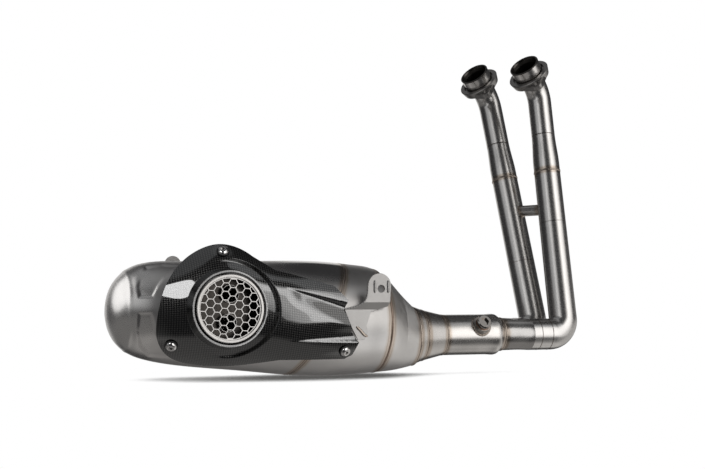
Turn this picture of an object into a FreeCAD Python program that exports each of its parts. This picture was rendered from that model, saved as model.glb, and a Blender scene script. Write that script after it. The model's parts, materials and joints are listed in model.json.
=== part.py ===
"""Full exhaust system for a parallel-twin motorcycle: two header pipes, a collector, a link pipe
and an underslung muffler with a side outlet behind a carbon heat shield.

The row frame has its origin at the centre of the frame bracket's bolt hole. +X points forward along
the collector's axis, +Z points up, and -Y is the side that the outlet faces. Most places below are
given in pipe coordinates, whose origin is on the collector's axis between the feet of the headers;
spot() turns them into the row frame. Lengths are in millimetres and angles in degrees.
"""
import FreeCAD, Part
import math
import os
import re
import Sketcher

V = FreeCAD.Vector
DOC = FreeCAD.newDocument("racing_exhaust")

SIZES = {
    # where the pipe coordinates start, seen from the bracket's bolt hole
    "datum_x": (327.5, "collector axis, plane of the header feet"),
    "datum_y": (103.0, "collector axis"),
    "datum_z": (-72.0, "collector axis"),
    # ports and spigots
    "port_spacing": (102.5, "between the two exhaust ports"),
    "heading": (26.6, "plan angle between the pipe axis and the bike's length"),
    "port_rise": (42.8, "elevation of a spigot's axis"),
    "right_port_x": (-22.4, "mouth of the right spigot"),
    "right_port_y": (31.1, "mouth of the right spigot"),
    "port_height": (439.7, "mouths above the collector's axis"),
    "neck_length": (58.4, "mouth to the corner of the first bend"),
    "spigot_diameter": (48.5, "sealing collar"),
    "spigot_length": (20.7, "mouth to the collar's back face"),
    "spigot_bore": (36.0, "gas passage through the collar"),
    "spigot_lip": (3.2, "chamfer at the mouth"),
    "socket_depth": (16.0, "mouth to the end of the pipe inside the collar"),
    # port flanges
    "flange_top": (17.0, "mouth to the flange's rim"),
    "flange_height": (12.0, "rim to the flange's underside"),
    "flange_plate": (8.0, "thickness of the lugs"),
    "flange_cup": (68.0, "diameter of the rim"),
    "flange_recess": (52.0, "diameter of the recess round the collar"),
    "flange_waist": (60.0, "diameter of the middle of the plate"),
    "flange_lean": (2.0, "taper of the rim's outside, in radius"),
    "flange_edge": (1.0, "bevels on the rim"),
    "flange_bore": (38.7, "runs free on the pipe"),
    "stud_circle": (74.0, "between the two stud holes"),
    "stud_hole": (8.5, "for M8 studs"),
    "lug_radius": (9.5, "round the stud holes"),
    "lug_turn": (-46.0, "angle of the lug line round the spigot's axis"),
    # header pipes
    "header_small": (38.0, "outside diameter above the step"),
    "header_large": (42.4, "outside diameter below the step"),
    "header_foot": (44.5, "outside diameter at the elbow"),
    "neck_bend": (38.0, "centre radius of the first bend"),
    "pipe_wall": (1.2, "wall of every gas pipe"),
    "step_start": (75.0, "corner of the first bend to the step"),
    "step_length": (50.0, "the taper"),
    "step_tail": (12.4, "straight end of the step"),
    "left_lag": (11.0, "the left step sits this much further down"),
    "right_foot_x": (20.7, "corner of the right elbow"),
    "left_foot_x": (-4.6, "corner of the left elbow"),
    "foot_spread": (25.0, "elbow axes either side of the collector's axis"),
    "elbow_radius": (26.5, "centre radius of the lower elbows"),
    "elbow_out": (49.6, "outside diameter where an elbow ends"),
    "elbow_tail": (7.0, "straight end of the elbow"),
    "brace_diameter": (18.0, "crossover tube"),
    "brace_height": (203.0, "crossover tube above the collector's axis"),
    # collector and link pipe, X stations
    "collector_front": (-46.0, "sleeves end, collector starts"),
    "collector_rear": (-84.0, "collector ends"),
    "collector_out": (52.0, "outside diameter at the collector's rear"),
    "link_shoulder": (-97.0, "link pipe reaches its full size"),
    "link_rear": (-187.0, "link pipe ends"),
    "link_diameter": (63.5, "link pipe"),
    "inlet_waist": (-222.0, "weld inside the inlet cone"),
    "inlet_waist_diameter": (80.0, "at that weld"),
    # oxygen sensor bung
    "bung_station": (-130.0, "X of the sensor bung"),
    "bung_rise": (28.0, "elevation of the bung's axis"),
    "bung_diameter": (30.0, "weld foot"),
    "bung_neck": (26.0, "machined top"),
    "bung_bore": (18.0, "thread"),
    "bung_face": (39.5, "collector axis to the bung's face"),
    "plug_head": (23.0, "plug's head"),
    "plug_hex": (12.0, "across the flats of the plug's socket"),
    "washer_thick": (1.5, "crush washer"),
    # muffler
    "muffler_wall": (1.0, "sheet of the muffler's shells"),
    "core_diameter": (50.8, "perforated tube"),
    "core_height": (10.0, "core tube above the collector's axis"),
    "core_front": (-300.0, "X"),
    "core_rear": (-480.0, "X"),
    "front_baffle_station": (-352.0, "X of the front baffle"),
    "rear_baffle_station": (-466.0, "X of the rear baffle"),
    "baffle_thick": (1.5, "baffle plates"),
    "packing_diameter": (112.0, "glass-fibre packing"),
    # outlet
    "outlet_x": (-547.2, "middle of the outlet ring"),
    "outlet_y": (-98.0, "front face of the outlet ring"),
    "outlet_z": (44.2, "middle of the outlet ring"),
    "ring_diameter": (95.0, "outlet ring"),
    "ring_bore": (86.4, "outlet ring"),
    "ring_depth": (8.0, "outlet ring"),
    "cup_diameter": (93.0, "outlet cup"),
    "cup_depth": (40.0, "ring's face to the cup's floor"),
    "mesh_recess": (1.6, "ring's face to the mesh"),
    "mesh_thick": (1.5, "mesh plate"),
    "mesh_pitch": (11.7, "between hexagon centres"),
    "mesh_web": (1.1, "between two hexagons"),
    "mesh_lead": (2.1, "middle hexagon forward of the ring's middle"),
    "tail_diameter": (26.0, "two tail tubes"),
    "tail_spread": (20.6, "tail tube axes above and below the middle"),
    "tail_start": (28.0, "ring's face to the tube mouths"),
    "tail_lead": (4.5, "tail tube axes forward of the ring's middle"),
    "tail_skew": (1.6, "upper tube forward and lower tube back from there"),
    "tail_length": (80.0, "tail tubes"),
    # heat shield
    "shield_thick": (2.0, "carbon laminate"),
    "shield_opening": (98.4, "hole round the outlet ring"),
    "collar_lift": (1.0, "ring's face to the collar's rim"),
    "collar_depth": (15.0, "collar's slope"),
    "collar_flare": (12.0, "collar's growth in radius"),
    "screw_diameter": (6.0, "M6 button-head screws"),
    "screw_head": (16.0, "wide button head"),
    "screw_washer": (19.0, "black washer under the head"),
    "washer_lift": (0.7, "shield's face to the washer, which bridges its curve"),
    "head_seat": (1.9, "shield's face to the underside of the head"),
    "screw_reach": (7.0, "shield's face to the screw's tip"),
    "boss_diameter": (13.0, "welded boss under each screw"),
    "boss_length": (46.0, "before it is trimmed to the muffler"),
    # brackets
    "bracket_hole": (11.0, "frame bolt"),
    "bracket_sheet": (2.5, "frame bracket"),
    "bracket_joggle": (6.2, "tab stands this far outside the skirt"),
    "hanger_hole": (8.5, "rear hanger"),
    "hanger_sheet": (3.0, "rear hanger"),
}

# muffler sections: X station, middle in Y, middle in Z, half width, half height
SECTIONS = {
    "mouth": (-238, 0, -1, 45.5, 45.5),
    "swell": (-272, 0, 11, 72, 64),
    "main_weld": (-305, 0, 23.5, 92.5, 79),
    "front_mid": (-335, 0, 25.5, 94, 83),
    "shell_seam": (-370, 0, 26.5, 95, 85.5),
    "belly": (-440, 2, 29, 95, 85),
    "outlet_front": (-510, 8, 32, 93, 80.5),
    "outlet_back": (-580, 18, 35, 89, 77),
    "cap_seam": (-640, 30, 39, 80, 71.5),
    "cap_round": (-668, 36, 39.5, 67, 61.5),
    "cap_shoulder": (-685, 40, 39, 52, 46),
    "cap_dome": (-694, 42, 38.8, 34, 29),
    "cap_tip": (-698, 43, 38.5, 14, 12),
}

# heat shield sections, outer face: X station, middle in Y, middle in Z, half width, half height
SHIELD_SECTIONS = [
    (-655, 33, 40, 84, 78),
    (-610, 24, 43, 96, 90),
    (-575, 16, 48, 100, 101),
    (-545, 10, 50, 101.5, 106.4),
    (-500, 7, 44, 105, 98),
    (-440, 2, 34, 106, 98),
    (-380, 0, 28, 104.5, 95.5),
    (-330, 0, 27, 103, 93),
]

# edge of the heat shield seen along Y: X and Z of the points of its smooth rear stretch ...
SHIELD_CURVE = [
    (-508, 118.3), (-529, 131), (-555, 135), (-581, 126.5), (-603, 111), (-629, 76), (-641, 33),
    (-641, 6), (-626, -20), (-580, -36), (-519, -36.5), (-470, -29.5),
]
# ... and the corners of its straight-edged front stretch
SHIELD_CORNERS = [
    (-470, -29.5), (-377, -29), (-366, -23), (-359, -5), (-370, 10), (-381, 43), (-376, 56),
    (-394, 75.6), (-433, 86.6), (-461, 94), (-478, 98), (-508, 118.3),
]

# heat shield screws: X and Z; make_shield() finds the shield's face there
SHIELD_SCREWS = {"top": (-549.5, 124.2), "rear": (-620.8, -7.8), "front": (-378.5, -17.1)}

# outline of the frame bracket seen along Y, from the foot of the tab round the skirt
BRACKET_OUTLINE = [
    (-347.4, 76), (-348, 64), (-352, 54), (-361, 47), (-381, 42.5), (-370.5, 17), (-361, -1.5),
    (-350.6, -1.5), (-345.4, 12.4), (-348, 18), (-341, 39), (-316, 46.5), (-313.5, 54), (-312.4, 76),
]
BRACKET_CROWN = (-330, 94.2)
BRACKET_FOLDS = (52.6, 42.1)


def make_sheet():
    """Write the driving dimensions into the spreadsheet, one row each."""
    sheet = DOC.addObject("Spreadsheet::Sheet", "Sizes")
    for row, (name, (value, note)) in enumerate(SIZES.items(), start=1):
        sheet.set("A%d" % row, name)
        sheet.set("B%d" % row, str(value))
        sheet.setAlias("B%d" % row, name)
        sheet.set("C%d" % row, note)
    DOC.recompute()
    return sheet


SHEET = make_sheet()


def size(name):
    """One driving dimension, as the sheet holds it."""
    return float(SHEET.get(name))

def formula(text):
    """A sum of sheet names such as 'ring_bore / 2', with the sheet's name put before each."""
    return re.sub(r"[a-z]+(_[a-z]+)+|heading", r"Sizes.\g<0>", str(text))


def value_of(text):
    """What such a sum comes to."""
    return float(SHEET.evalExpression(formula(text)))


def spot(x, y, z):
    """A point given in pipe coordinates, in the row frame."""
    return V(size("datum_x") + x, size("datum_y") + y, size("datum_z") + z)


def direction(turn, rise):
    """Unit vector from its plan angle, counted from +X, and its elevation."""
    flat = math.cos(math.radians(rise))
    return V(flat * math.cos(math.radians(turn)), flat * math.sin(math.radians(turn)),
             math.sin(math.radians(rise)))


def along(axis, side=None):
    """Rotation that takes Z to axis, and Y as near as can be to side."""
    side = side or (V(0, 0, 1) if abs(axis.z) < 0.9 else V(1, 0, 0))
    return FreeCAD.Rotation(side.cross(axis), side, axis, "ZYX")


def label(thing, name):
    thing.Label = name
    return thing


def new_part(kind, name):
    return label(DOC.addObject(kind, name), name)


def plane_of(body, role):
    """One of a body's own origin planes."""
    return next(f for f in body.Origin.OriginFeatures if f.Role == role)


def new_sketch(body, name, role):
    sketch = body.newObject("Sketcher::SketchObject", name)
    sketch.AttachmentSupport = [(plane_of(body, role), "")]
    sketch.MapMode = "FlatFace"
    return sketch


def turned(name, profile, base, axis, side=None):
    """A turned piece. profile is a closed outline of (radius, height) sums; height runs along axis."""
    body = new_part("PartDesign::Body", name)
    sketch = new_sketch(body, name + "_profile", "XZ_Plane")
    points = [V(value_of(radius), value_of(height), 0) for radius, height in profile]
    count = len(points)
    for index in range(count):
        sketch.addGeometry(Part.LineSegment(points[index], points[(index + 1) % count]), False)
    for index in range(count):
        sketch.addConstraint(Sketcher.Constraint("Coincident", index, 2, (index + 1) % count, 1))
    for index, sums in enumerate(profile):
        for kind, text, start in zip(("DistanceX", "DistanceY"), sums, points[index]):
            number = sketch.addConstraint(Sketcher.Constraint(kind, -1, 1, index, 1, start))
            sketch.setExpression("Constraints[%d]" % number, formula(text))
    turn = body.newObject("PartDesign::Revolution", name + "_turn")
    turn.Profile = sketch
    turn.ReferenceAxis = (sketch, ["V_Axis"])
    turn.Angle = 360
    body.Tip = turn
    body.Placement = FreeCAD.Placement(base, along(axis, side))
    return body


def pipe_profile(outside, wall="pipe_wall"):
    """Closed outline of a pipe wall, from the (outside radius, height) stations of its outer face."""
    inside = [("%s - %s" % (radius, wall), height) for radius, height in reversed(outside)]
    return list(outside) + inside


def cylinder(name, radius, length, base, axis):
    """A round bar or a drill, with its radius bound to the sheet."""
    bar = new_part("Part::Cylinder", name)
    bar.setExpression("Radius", formula(radius))
    bar.Height = length
    bar.Placement = FreeCAD.Placement(base, along(axis))
    return bar


def cut(name, base, *tools):
    """base with every tool taken away."""
    for number, tool in enumerate(tools):
        step = DOC.addObject("Part::Cut", name)
        step.Base = base
        step.Tool = tool
        step.Label = "%s_step_%d" % (name, number)
        base = step
    return label(base, name)


def fuse(name, *pieces):
    joined = new_part("Part::MultiFuse", name)
    joined.Shapes = list(pieces)
    return joined


def common(name, base, tool):
    part = new_part("Part::Common", name)
    part.Base = base
    part.Tool = tool
    return part


def fixed(name, shape):
    """A piece or tool whose shape is worked out from the sheet's sizes in this file."""
    part = new_part("Part::Feature", name)
    part.Shape = shape
    return part


# ---------------------------------------------------------------- ports and headers

def header_layout(side):
    """Mouth, spigot axis, first corner, foot corner and step offset of one header."""
    out = direction(180 + size("heading"), size("port_rise"))
    line = direction(90 + size("heading"), 0)
    mouth = spot(size("right_port_x"), size("right_port_y"), size("port_height"))
    foot = spot(size("right_foot_x"), -size("foot_spread"), 0)
    lag = 0.0
    if side == "left":
        mouth = mouth + line * size("port_spacing")
        foot = spot(size("left_foot_x"), size("foot_spread"), 0)
        lag = size("left_lag")
    corner = mouth - out * size("neck_length")
    down = (foot - corner).normalize()
    return mouth, out, corner, foot, down, lag


def make_spigot(side):
    """Machined collar that seals in the cylinder head; the pipe ends in its socket."""
    mouth, out, _, _, _, _ = header_layout(side)
    profile = [
        ("spigot_bore / 2 + spigot_lip", "0"),
        ("spigot_diameter / 2 - 1", "0"),
        ("spigot_diameter / 2", "-1"),
        ("spigot_diameter / 2", "-spigot_length"),
        ("header_small / 2", "-spigot_length"),
        ("header_small / 2", "-socket_depth"),
        ("spigot_bore / 2", "-socket_depth"),
        ("spigot_bore / 2", "-spigot_lip"),
    ]
    return turned("spigot_" + side, profile, mouth, out)


def make_flange(side):
    """Loose two-stud flange: a lugged plate with a raised rim round the spigot's collar."""
    mouth, out, _, _, _, _ = header_layout(side)
    name = "port_flange_" + side
    body = new_part("PartDesign::Body", name)
    sketch = new_sketch(body, name + "_plate", "XY_Plane")
    reach = size("stud_circle") / 2
    waist = size("flange_waist") / 2
    lug = size("lug_radius")
    spread = math.acos((waist - lug) / reach)
    ends = []
    for middle, radius, start, stop in (
            (V(reach, 0, 0), lug, -spread, spread),
            (V(0, 0, 0), waist, spread, math.pi - spread),
            (V(-reach, 0, 0), lug, math.pi - spread, math.pi + spread),
            (V(0, 0, 0), waist, math.pi + spread, 2 * math.pi - spread)):
        sketch.addGeometry(Part.ArcOfCircle(Part.Circle(middle, V(0, 0, 1), radius), start, stop))
        ends.append([middle + V(math.cos(a), math.sin(a), 0) * radius for a in (start, stop)])
    for index in range(4):
        sketch.addGeometry(Part.LineSegment(ends[index][1], ends[(index + 1) % 4][0]))
        sketch.addConstraint(Sketcher.Constraint("Tangent", index, 2, 4 + index, 1))
        sketch.addConstraint(Sketcher.Constraint("Tangent", 4 + index, 2, (index + 1) % 4, 1))
    for middle, radius in ((V(0, 0, 0), size("flange_bore") / 2),
                           (V(reach, 0, 0), size("stud_hole") / 2),
                           (V(-reach, 0, 0), size("stud_hole") / 2)):
        sketch.addGeometry(Part.Circle(middle, V(0, 0, 1), radius))
    for centre in (1, 3, 8):
        sketch.addConstraint(Sketcher.Constraint("Coincident", centre, 3, -1, 1))
    for hole, arc in ((9, 0), (10, 2)):
        sketch.addConstraint(Sketcher.Constraint("Coincident", hole, 3, arc, 3))
        sketch.addConstraint(Sketcher.Constraint("PointOnObject", hole, 3, -1))
    rules = [("Radius", (0,), "lug_radius"), ("Radius", (2,), "lug_radius"),
             ("Radius", (1,), "flange_waist / 2"), ("Radius", (8,), "flange_bore / 2"),
             ("Radius", (9,), "stud_hole / 2"), ("Radius", (10,), "stud_hole / 2"),
             ("DistanceX", (-1, 1, 0, 3), "stud_circle / 2"),
             ("DistanceX", (2, 3, -1, 1), "stud_circle / 2")]
    for kind, where, text in rules:
        number = sketch.addConstraint(Sketcher.Constraint(kind, *where, value_of(text)))
        sketch.setExpression("Constraints[%d]" % number, formula(text))
    plate = body.newObject("PartDesign::Pad", name + "_pad")
    plate.Profile = sketch
    plate.setExpression("Length", formula("flange_plate"))
    body.Tip = plate
    lugs = label(body, name + "_lugs")
    rim = turned(name + "_rim", [
        ("flange_bore / 2", "0"),
        ("flange_cup / 2 - flange_edge - flange_lean", "0"),
        ("flange_cup / 2", "flange_height - flange_edge"),
        ("flange_cup / 2 - flange_edge", "flange_height"),
        ("flange_recess / 2 + flange_edge", "flange_height"),
        ("flange_recess / 2", "flange_plate"),
        ("flange_bore / 2", "flange_plate"),
    ], V(0, 0, 0), V(0, 0, 1))
    flange = fuse(name, lugs, rim)
    drop = size("flange_top") + size("flange_height")
    turn = FreeCAD.Rotation(V(0, 0, 1), size("lug_turn"))
    level = V(0, 0, 1).cross(out).normalize()
    flange.Placement = FreeCAD.Placement(mouth - out * drop, along(out, out.cross(level)) * turn)
    return flange


def swept_pipe(name, points, bend_radius, outside, wall):
    """A pipe of constant size along three points, with one bend of the given centre radius."""
    start, corner, end = points
    first = (start - corner).normalize()
    second = (end - corner).normalize()
    half = first.getAngle(second) / 2
    reach = bend_radius / math.tan(half)
    middle = (first + second).normalize()
    centre = corner + middle * (bend_radius / math.sin(half))
    near, far = corner + first * reach, corner + second * reach
    top = centre - middle * bend_radius
    route = Part.Wire([Part.LineSegment(start, near).toShape(), Part.Arc(near, top, far).toShape(),
                       Part.LineSegment(far, end).toShape()])
    spine = fixed(name + "_spine", route)
    solids = []
    for kind, radius in (("outer", outside), ("inner", "%s - %s" % (outside, wall))):
        ring = new_part("Part::Circle", "%s_%s_ring" % (name, kind))
        ring.setExpression("Radius", formula(radius))
        ring.Placement = FreeCAD.Placement(start, along(-first))
        sweep = new_part("Part::Sweep", "%s_%s" % (name, kind))
        sweep.Sections = [ring]
        sweep.Spine = (spine, ["Edge1", "Edge2", "Edge3"])
        sweep.Solid = True
        sweep.Frenet = False
        solids.append(sweep)
    return cut(name, *solids)


def make_header(side):
    """Upper pipe with the neck bend, the step up in size, and the tapered lower pipe."""
    mouth, out, corner, foot, down, lag = header_layout(side)
    start = size("step_start") + lag
    swept_pipe("header_upper_" + side, (mouth - out * size("socket_depth"), corner,
                                        corner + down * start),
               size("neck_bend"), "header_small / 2", "pipe_wall")
    turned("header_step_" + side, pipe_profile([
        ("header_small / 2", "0"),
        ("header_large / 2", "step_length"),
        ("header_large / 2", "step_length + step_tail")]), corner + down * start, down)
    top = start + size("step_length") + size("step_tail")
    turn = down.getAngle(V(-1, 0, 0))
    reach = size("elbow_radius") * math.tan(turn / 2)
    length = (foot - corner).Length - reach - top
    turned("header_lower_" + side, pipe_profile([
        ("header_large / 2", "0"), ("header_foot / 2", "%.4f" % length)]),
        corner + down * top, down)
    make_elbow(side, foot, down, turn, reach)


def make_elbow(side, foot, down, turn, reach):
    """Tight elbow that grows from the header's foot to the collector's sleeve."""
    name = "elbow_" + side
    steps = 8
    axis = down.cross(V(-1, 0, 0)).normalize()
    start = foot - down * reach
    radius = size("elbow_radius")
    inward = axis.cross(down)
    solids = []
    for kind, wall in (("outer", "0"), ("inner", "pipe_wall")):
        rings = []
        for index in range(steps + 1):
            share = index / steps
            spin = FreeCAD.Rotation(axis, math.degrees(turn) * share)
            middle = start + inward * radius - spin.multVec(inward) * radius
            ring = new_part("Part::Circle", "%s_%s_ring_%d" % (name, kind, index))
            ring.setExpression("Radius", formula(
                "header_foot / 2 + (elbow_out - header_foot) / 2 * %g - %s" % (share, wall)))
            ring.Placement = FreeCAD.Placement(middle, spin * along(down, axis))
            rings.append(ring)
        loft = new_part("Part::Loft", "%s_%s" % (name, kind))
        loft.Sections = rings
        loft.Solid = True
        loft.Ruled = False
        solids.append(loft)
    rearward = V(-1, 0, 0)
    end = foot + rearward * reach
    tail = turned("elbow_tail_" + side, pipe_profile([
        ("elbow_out / 2", "0"), ("elbow_out / 2", "elbow_tail")]), end, rearward)
    fuse(name, cut("elbow_curve_" + side, *solids), tail)
    end += rearward * size("elbow_tail")
    length = end.x - spot(size("collector_front"), 0, 0).x
    turned("sleeve_" + side, pipe_profile([
        ("elbow_out / 2", "0"), ("elbow_out / 2", "%.4f" % length)]), end, rearward)


def make_brace():
    """Level tube welded between the two headers, trimmed to their faces."""
    ends = []
    for side in ("right", "left"):
        _, _, corner, _, down, _ = header_layout(side)
        drop = corner.z - spot(0, 0, size("brace_height")).z
        ends.append(corner + down * (drop / -down.z))
    bar = cylinder("brace_bar", "brace_diameter / 2", (ends[1] - ends[0]).Length, ends[0],
                   (ends[1] - ends[0]).normalize())
    bore = cylinder("brace_bore", "brace_diameter / 2 - pipe_wall", (ends[1] - ends[0]).Length,
                    ends[0], (ends[1] - ends[0]).normalize())
    trims = []
    for side in ("right", "left"):
        _, _, corner, foot, down, lag = header_layout(side)
        top = size("step_start") + lag + size("step_length") + size("step_tail")
        reach = size("elbow_radius") * math.tan(down.getAngle(V(-1, 0, 0)) / 2)
        trim = new_part("Part::Cone", "brace_trim_" + side)
        trim.setExpression("Radius1", formula("header_large / 2"))
        trim.setExpression("Radius2", formula("header_foot / 2"))
        trim.Height = (foot - corner).Length - reach - top
        trim.Placement = FreeCAD.Placement(corner + down * top, along(down))
        trims.append(trim)
    return cut("crossover_tube", bar, bore, *trims)


# ---------------------------------------------------------------- collector and link pipe

def slot_wire(x, spread, radius):
    """Upright slot outline round two pipes that lie side by side, as four edges."""
    top = [spot(x, side * spread, radius) for side in (-1, 1)]
    bottom = [spot(x, side * spread, -radius) for side in (-1, 1)]
    return Part.Wire([
        Part.LineSegment(top[0], top[1]).toShape(),
        Part.Arc(top[1], spot(x, spread + radius, 0), bottom[1]).toShape(),
        Part.LineSegment(bottom[1], bottom[0]).toShape(),
        Part.Arc(bottom[0], spot(x, -spread - radius, 0), top[0]).toShape()])


def round_wire(x, radius):
    """Circle round the pipe axis, split in four like the slot outline."""
    angle = math.radians(60)
    corner = {}
    for side in (-1, 1):
        for level in (-1, 1):
            corner[side, level] = spot(x, side * radius * math.cos(angle),
                                       level * radius * math.sin(angle))
    return Part.Wire([
        Part.Arc(corner[-1, 1], spot(x, 0, radius), corner[1, 1]).toShape(),
        Part.Arc(corner[1, 1], spot(x, radius, 0), corner[1, -1]).toShape(),
        Part.Arc(corner[1, -1], spot(x, 0, -radius), corner[-1, -1]).toShape(),
        Part.Arc(corner[-1, -1], spot(x, -radius, 0), corner[-1, 1]).toShape()])


def make_collector():
    """Two pipes into one: a flat-sided funnel with a front plate that the sleeves are welded to."""
    front, rear = size("collector_front"), size("collector_rear")
    wall, spread = size("pipe_wall"), size("foot_spread")
    outer = Part.makeLoft([slot_wire(front, spread, size("elbow_out") / 2),
                           round_wire(rear, size("collector_out") / 2)], True, True)
    inner = Part.makeLoft([slot_wire(front - wall, spread, size("elbow_out") / 2 - 2 * wall),
                           round_wire(rear, size("collector_out") / 2 - wall)], True, True)
    drills = [cylinder("collector_inlet_" + side, "elbow_out / 2 - pipe_wall", 2 * wall,
                       spot(front, sign * spread, 0), V(-1, 0, 0))
              for side, sign in (("right", -1), ("left", 1))]
    return cut("collector", fixed("collector_outer", outer), fixed("collector_inner", inner),
               *drills)


def make_link_pipe():
    """Link pipe with its swaged shoulder, the sensor bung on it, and the plug that closes it."""
    pipe = turned("link_pipe_blank", pipe_profile([
        ("collector_out / 2", "0"),
        ("collector_out / 2 + 0.6", "4"),
        ("link_diameter / 2", "collector_rear - link_shoulder"),
        ("link_diameter / 2", "collector_rear - link_rear")]),
        spot(size("collector_rear"), 0, 0), V(-1, 0, 0))
    base = spot(size("bung_station"), 0, 0)
    out = direction(-90, size("bung_rise"))
    root = "link_diameter / 2 - 3"
    drill = cylinder("bung_drill", "bung_bore / 2", size("bung_face"), base, out)
    cut("link_pipe", pipe, drill)
    bung = turned("bung_blank", [
        ("bung_bore / 2", root),
        ("bung_diameter / 2", root),
        ("bung_diameter / 2", "link_diameter / 2 + 1"),
        ("bung_neck / 2", "link_diameter / 2 + 3"),
        ("bung_neck / 2", "bung_face"),
        ("bung_bore / 2", "bung_face")], base, out)
    saddle = cylinder("bung_saddle", "link_diameter / 2", size("bung_diameter") * 2,
                      base + V(size("bung_diameter"), 0, 0), V(-1, 0, 0))
    cut("lambda_bung", bung, saddle)
    turned("lambda_washer", [
        ("bung_bore / 2 + 0.2", "bung_face"), ("plug_head / 2 + 0.5", "bung_face"),
        ("plug_head / 2 + 0.5", "bung_face + washer_thick"),
        ("bung_bore / 2 + 0.2", "bung_face + washer_thick")], base, out)
    seat = "bung_face + washer_thick"
    plug = turned("plug_blank", [
        ("0", root), ("bung_bore / 2 - 0.1", root), ("bung_bore / 2 - 0.1", seat),
        ("plug_head / 2", seat), ("plug_head / 2", seat + " + 4.5"),
        ("plug_head / 2 - 1.5", seat + " + 6"), ("0", seat + " + 6")], base, out)
    hexagon = new_part("Part::Prism", "plug_hexagon")
    hexagon.Polygon = 6
    hexagon.setExpression("Circumradius", formula("plug_hex / sqrt(3)"))
    hexagon.Height = 8
    depth = value_of(seat + " + 2")
    hexagon.Placement = FreeCAD.Placement(base + out * depth, along(out))
    cut("lambda_plug", plug, hexagon)


# ---------------------------------------------------------------- muffler

def ellipse(name, station, inset=0.0, shift=0.0):
    """One upright section of a shell, in a plane square to the pipe axis."""
    x, y, z, half_width, half_height = station
    section = new_part("Part::Ellipse", name)
    longer, shorter = max(half_width, half_height), min(half_width, half_height)
    section.MajorRadius = longer - inset
    section.MinorRadius = shorter - inset
    wide = half_width >= half_height
    first = V(0, 1, 0) if wide else V(0, 0, 1)
    second = V(0, 0, 1) if wide else V(0, -1, 0)
    turn = FreeCAD.Rotation(first, second, first.cross(second), "ZXY")
    section.Placement = FreeCAD.Placement(spot(x + shift, y, z), turn)
    return section


def body_loft(name, stations, inset=0.0, shifts=None):
    """Smooth solid through upright sections."""
    shifts = shifts or [0.0] * len(stations)
    loft = new_part("Part::Loft", name)
    loft.Sections = [ellipse("%s_section_%d" % (name, number), station, inset, shift)
                     for number, (station, shift) in enumerate(zip(stations, shifts))]
    loft.Solid = True
    loft.Ruled = False
    return loft


def shell(name, keys, closed=False):
    """A stretch of the muffler's skin between named sections. Returns its outer and inner solids."""
    stations = [SECTIONS[key] for key in keys]
    wall = size("muffler_wall")
    shifts = [0.0] + [wall] * (len(stations) - 1) if closed else None
    outer = body_loft(name + "_outer", stations)
    inner = body_loft(name + "_inner", stations, wall, shifts)
    return outer, inner


def make_inlet_cone():
    """Round cone from the link pipe up to the muffler's mouth."""
    mouth = SECTIONS["mouth"]
    turned("inlet_cone", pipe_profile([
        ("link_diameter / 2", "0"),
        ("inlet_waist_diameter / 2", "link_rear - inlet_waist"),
        (str(mouth[3]), "link_rear + %g" % -mouth[0])]),
        spot(size("link_rear"), 0, 0), V(-1, 0, 0))


def make_muffler():
    """Four welded shells with the gas path and the baffles inside them."""
    cone_outer, cone_inner = shell("muffler_front_cone", ("mouth", "swell", "main_weld"))
    cut("muffler_front_cone", cone_outer, cone_inner)
    front_outer, front_inner = shell("muffler_front_shell", ("main_weld", "front_mid",
                                                             "shell_seam"))
    cut("muffler_front_shell", front_outer, front_inner)
    main_outer, main_inner = shell("muffler_main_shell", (
        "shell_seam", "belly", "outlet_front", "outlet_back", "cap_seam"))
    hole = cylinder("outlet_hole", "cup_diameter / 2", size("cup_depth") * 2,
                    spot(size("outlet_x"), size("outlet_y") - size("cup_depth"),
                         size("outlet_z")), V(0, 1, 0))
    cut("muffler_main_shell", main_outer, main_inner, hole)
    cap_outer, cap_inner = shell("muffler_rear_cap", (
        "cap_seam", "cap_round", "cap_shoulder", "cap_dome", "cap_tip"), closed=True)
    cut("muffler_rear_cap", cap_outer, cap_inner)
    make_internals(front_inner, main_inner)
    return main_outer


def make_internals(front_inner, main_inner):
    """Perforated core between two baffles, with packing round it."""
    start = spot(size("core_front"), 0, size("core_height"))
    length = size("core_front") - size("core_rear")
    tube = turned("core_blank", pipe_profile([
        ("core_diameter / 2", "0"), ("core_diameter / 2", "core_front - core_rear")]),
        start, V(-1, 0, 0))
    hole_radius, rows, around = 3.0, 8, 6
    first = size("core_front") - size("front_baffle_station") + 12
    pitch = (size("front_baffle_station") - size("rear_baffle_station") - 24) / (rows - 1)
    drills = []
    for row in range(rows):
        for number in range(around // 2):
            angle = 360 / around * (number + 0.5 * (row % 2))
            middle = start - V(first + row * pitch, 0, 0)
            way = V(0, math.cos(math.radians(angle)), math.sin(math.radians(angle)))
            drills.append(Part.makeCylinder(hole_radius, size("core_diameter") + 4,
                                            middle - way * (size("core_diameter") / 2 + 2), way))
    cut("core_tube", tube, fixed("core_perforations", Part.makeCompound(drills)))
    core = cylinder("core_clearance", "core_diameter / 2", length, start, V(-1, 0, 0))
    for name, cavity in (("front_baffle", front_inner), ("rear_baffle", main_inner)):
        slab = new_part("Part::Box", name + "_slab")
        slab.setExpression("Length", formula("baffle_thick"))
        slab.Width = 220
        slab.Height = 220
        slab.Placement = FreeCAD.Placement(spot(size(name + "_station"), -110, -80),
                                           FreeCAD.Rotation())
        plate = common(name + "_plate", slab, cavity)
        cut(name, plate, core)
    turned("packing", [
        ("core_diameter / 2 + 0.2", "0"), ("packing_diameter / 2", "0"),
        ("packing_diameter / 2", "front_baffle_station - rear_baffle_station - baffle_thick - 1"),
        ("core_diameter / 2 + 0.2", "front_baffle_station - rear_baffle_station - baffle_thick - 1")],
        spot(size("front_baffle_station") - 0.5, 0, size("core_height")), V(-1, 0, 0))


# ---------------------------------------------------------------- outlet

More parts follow.
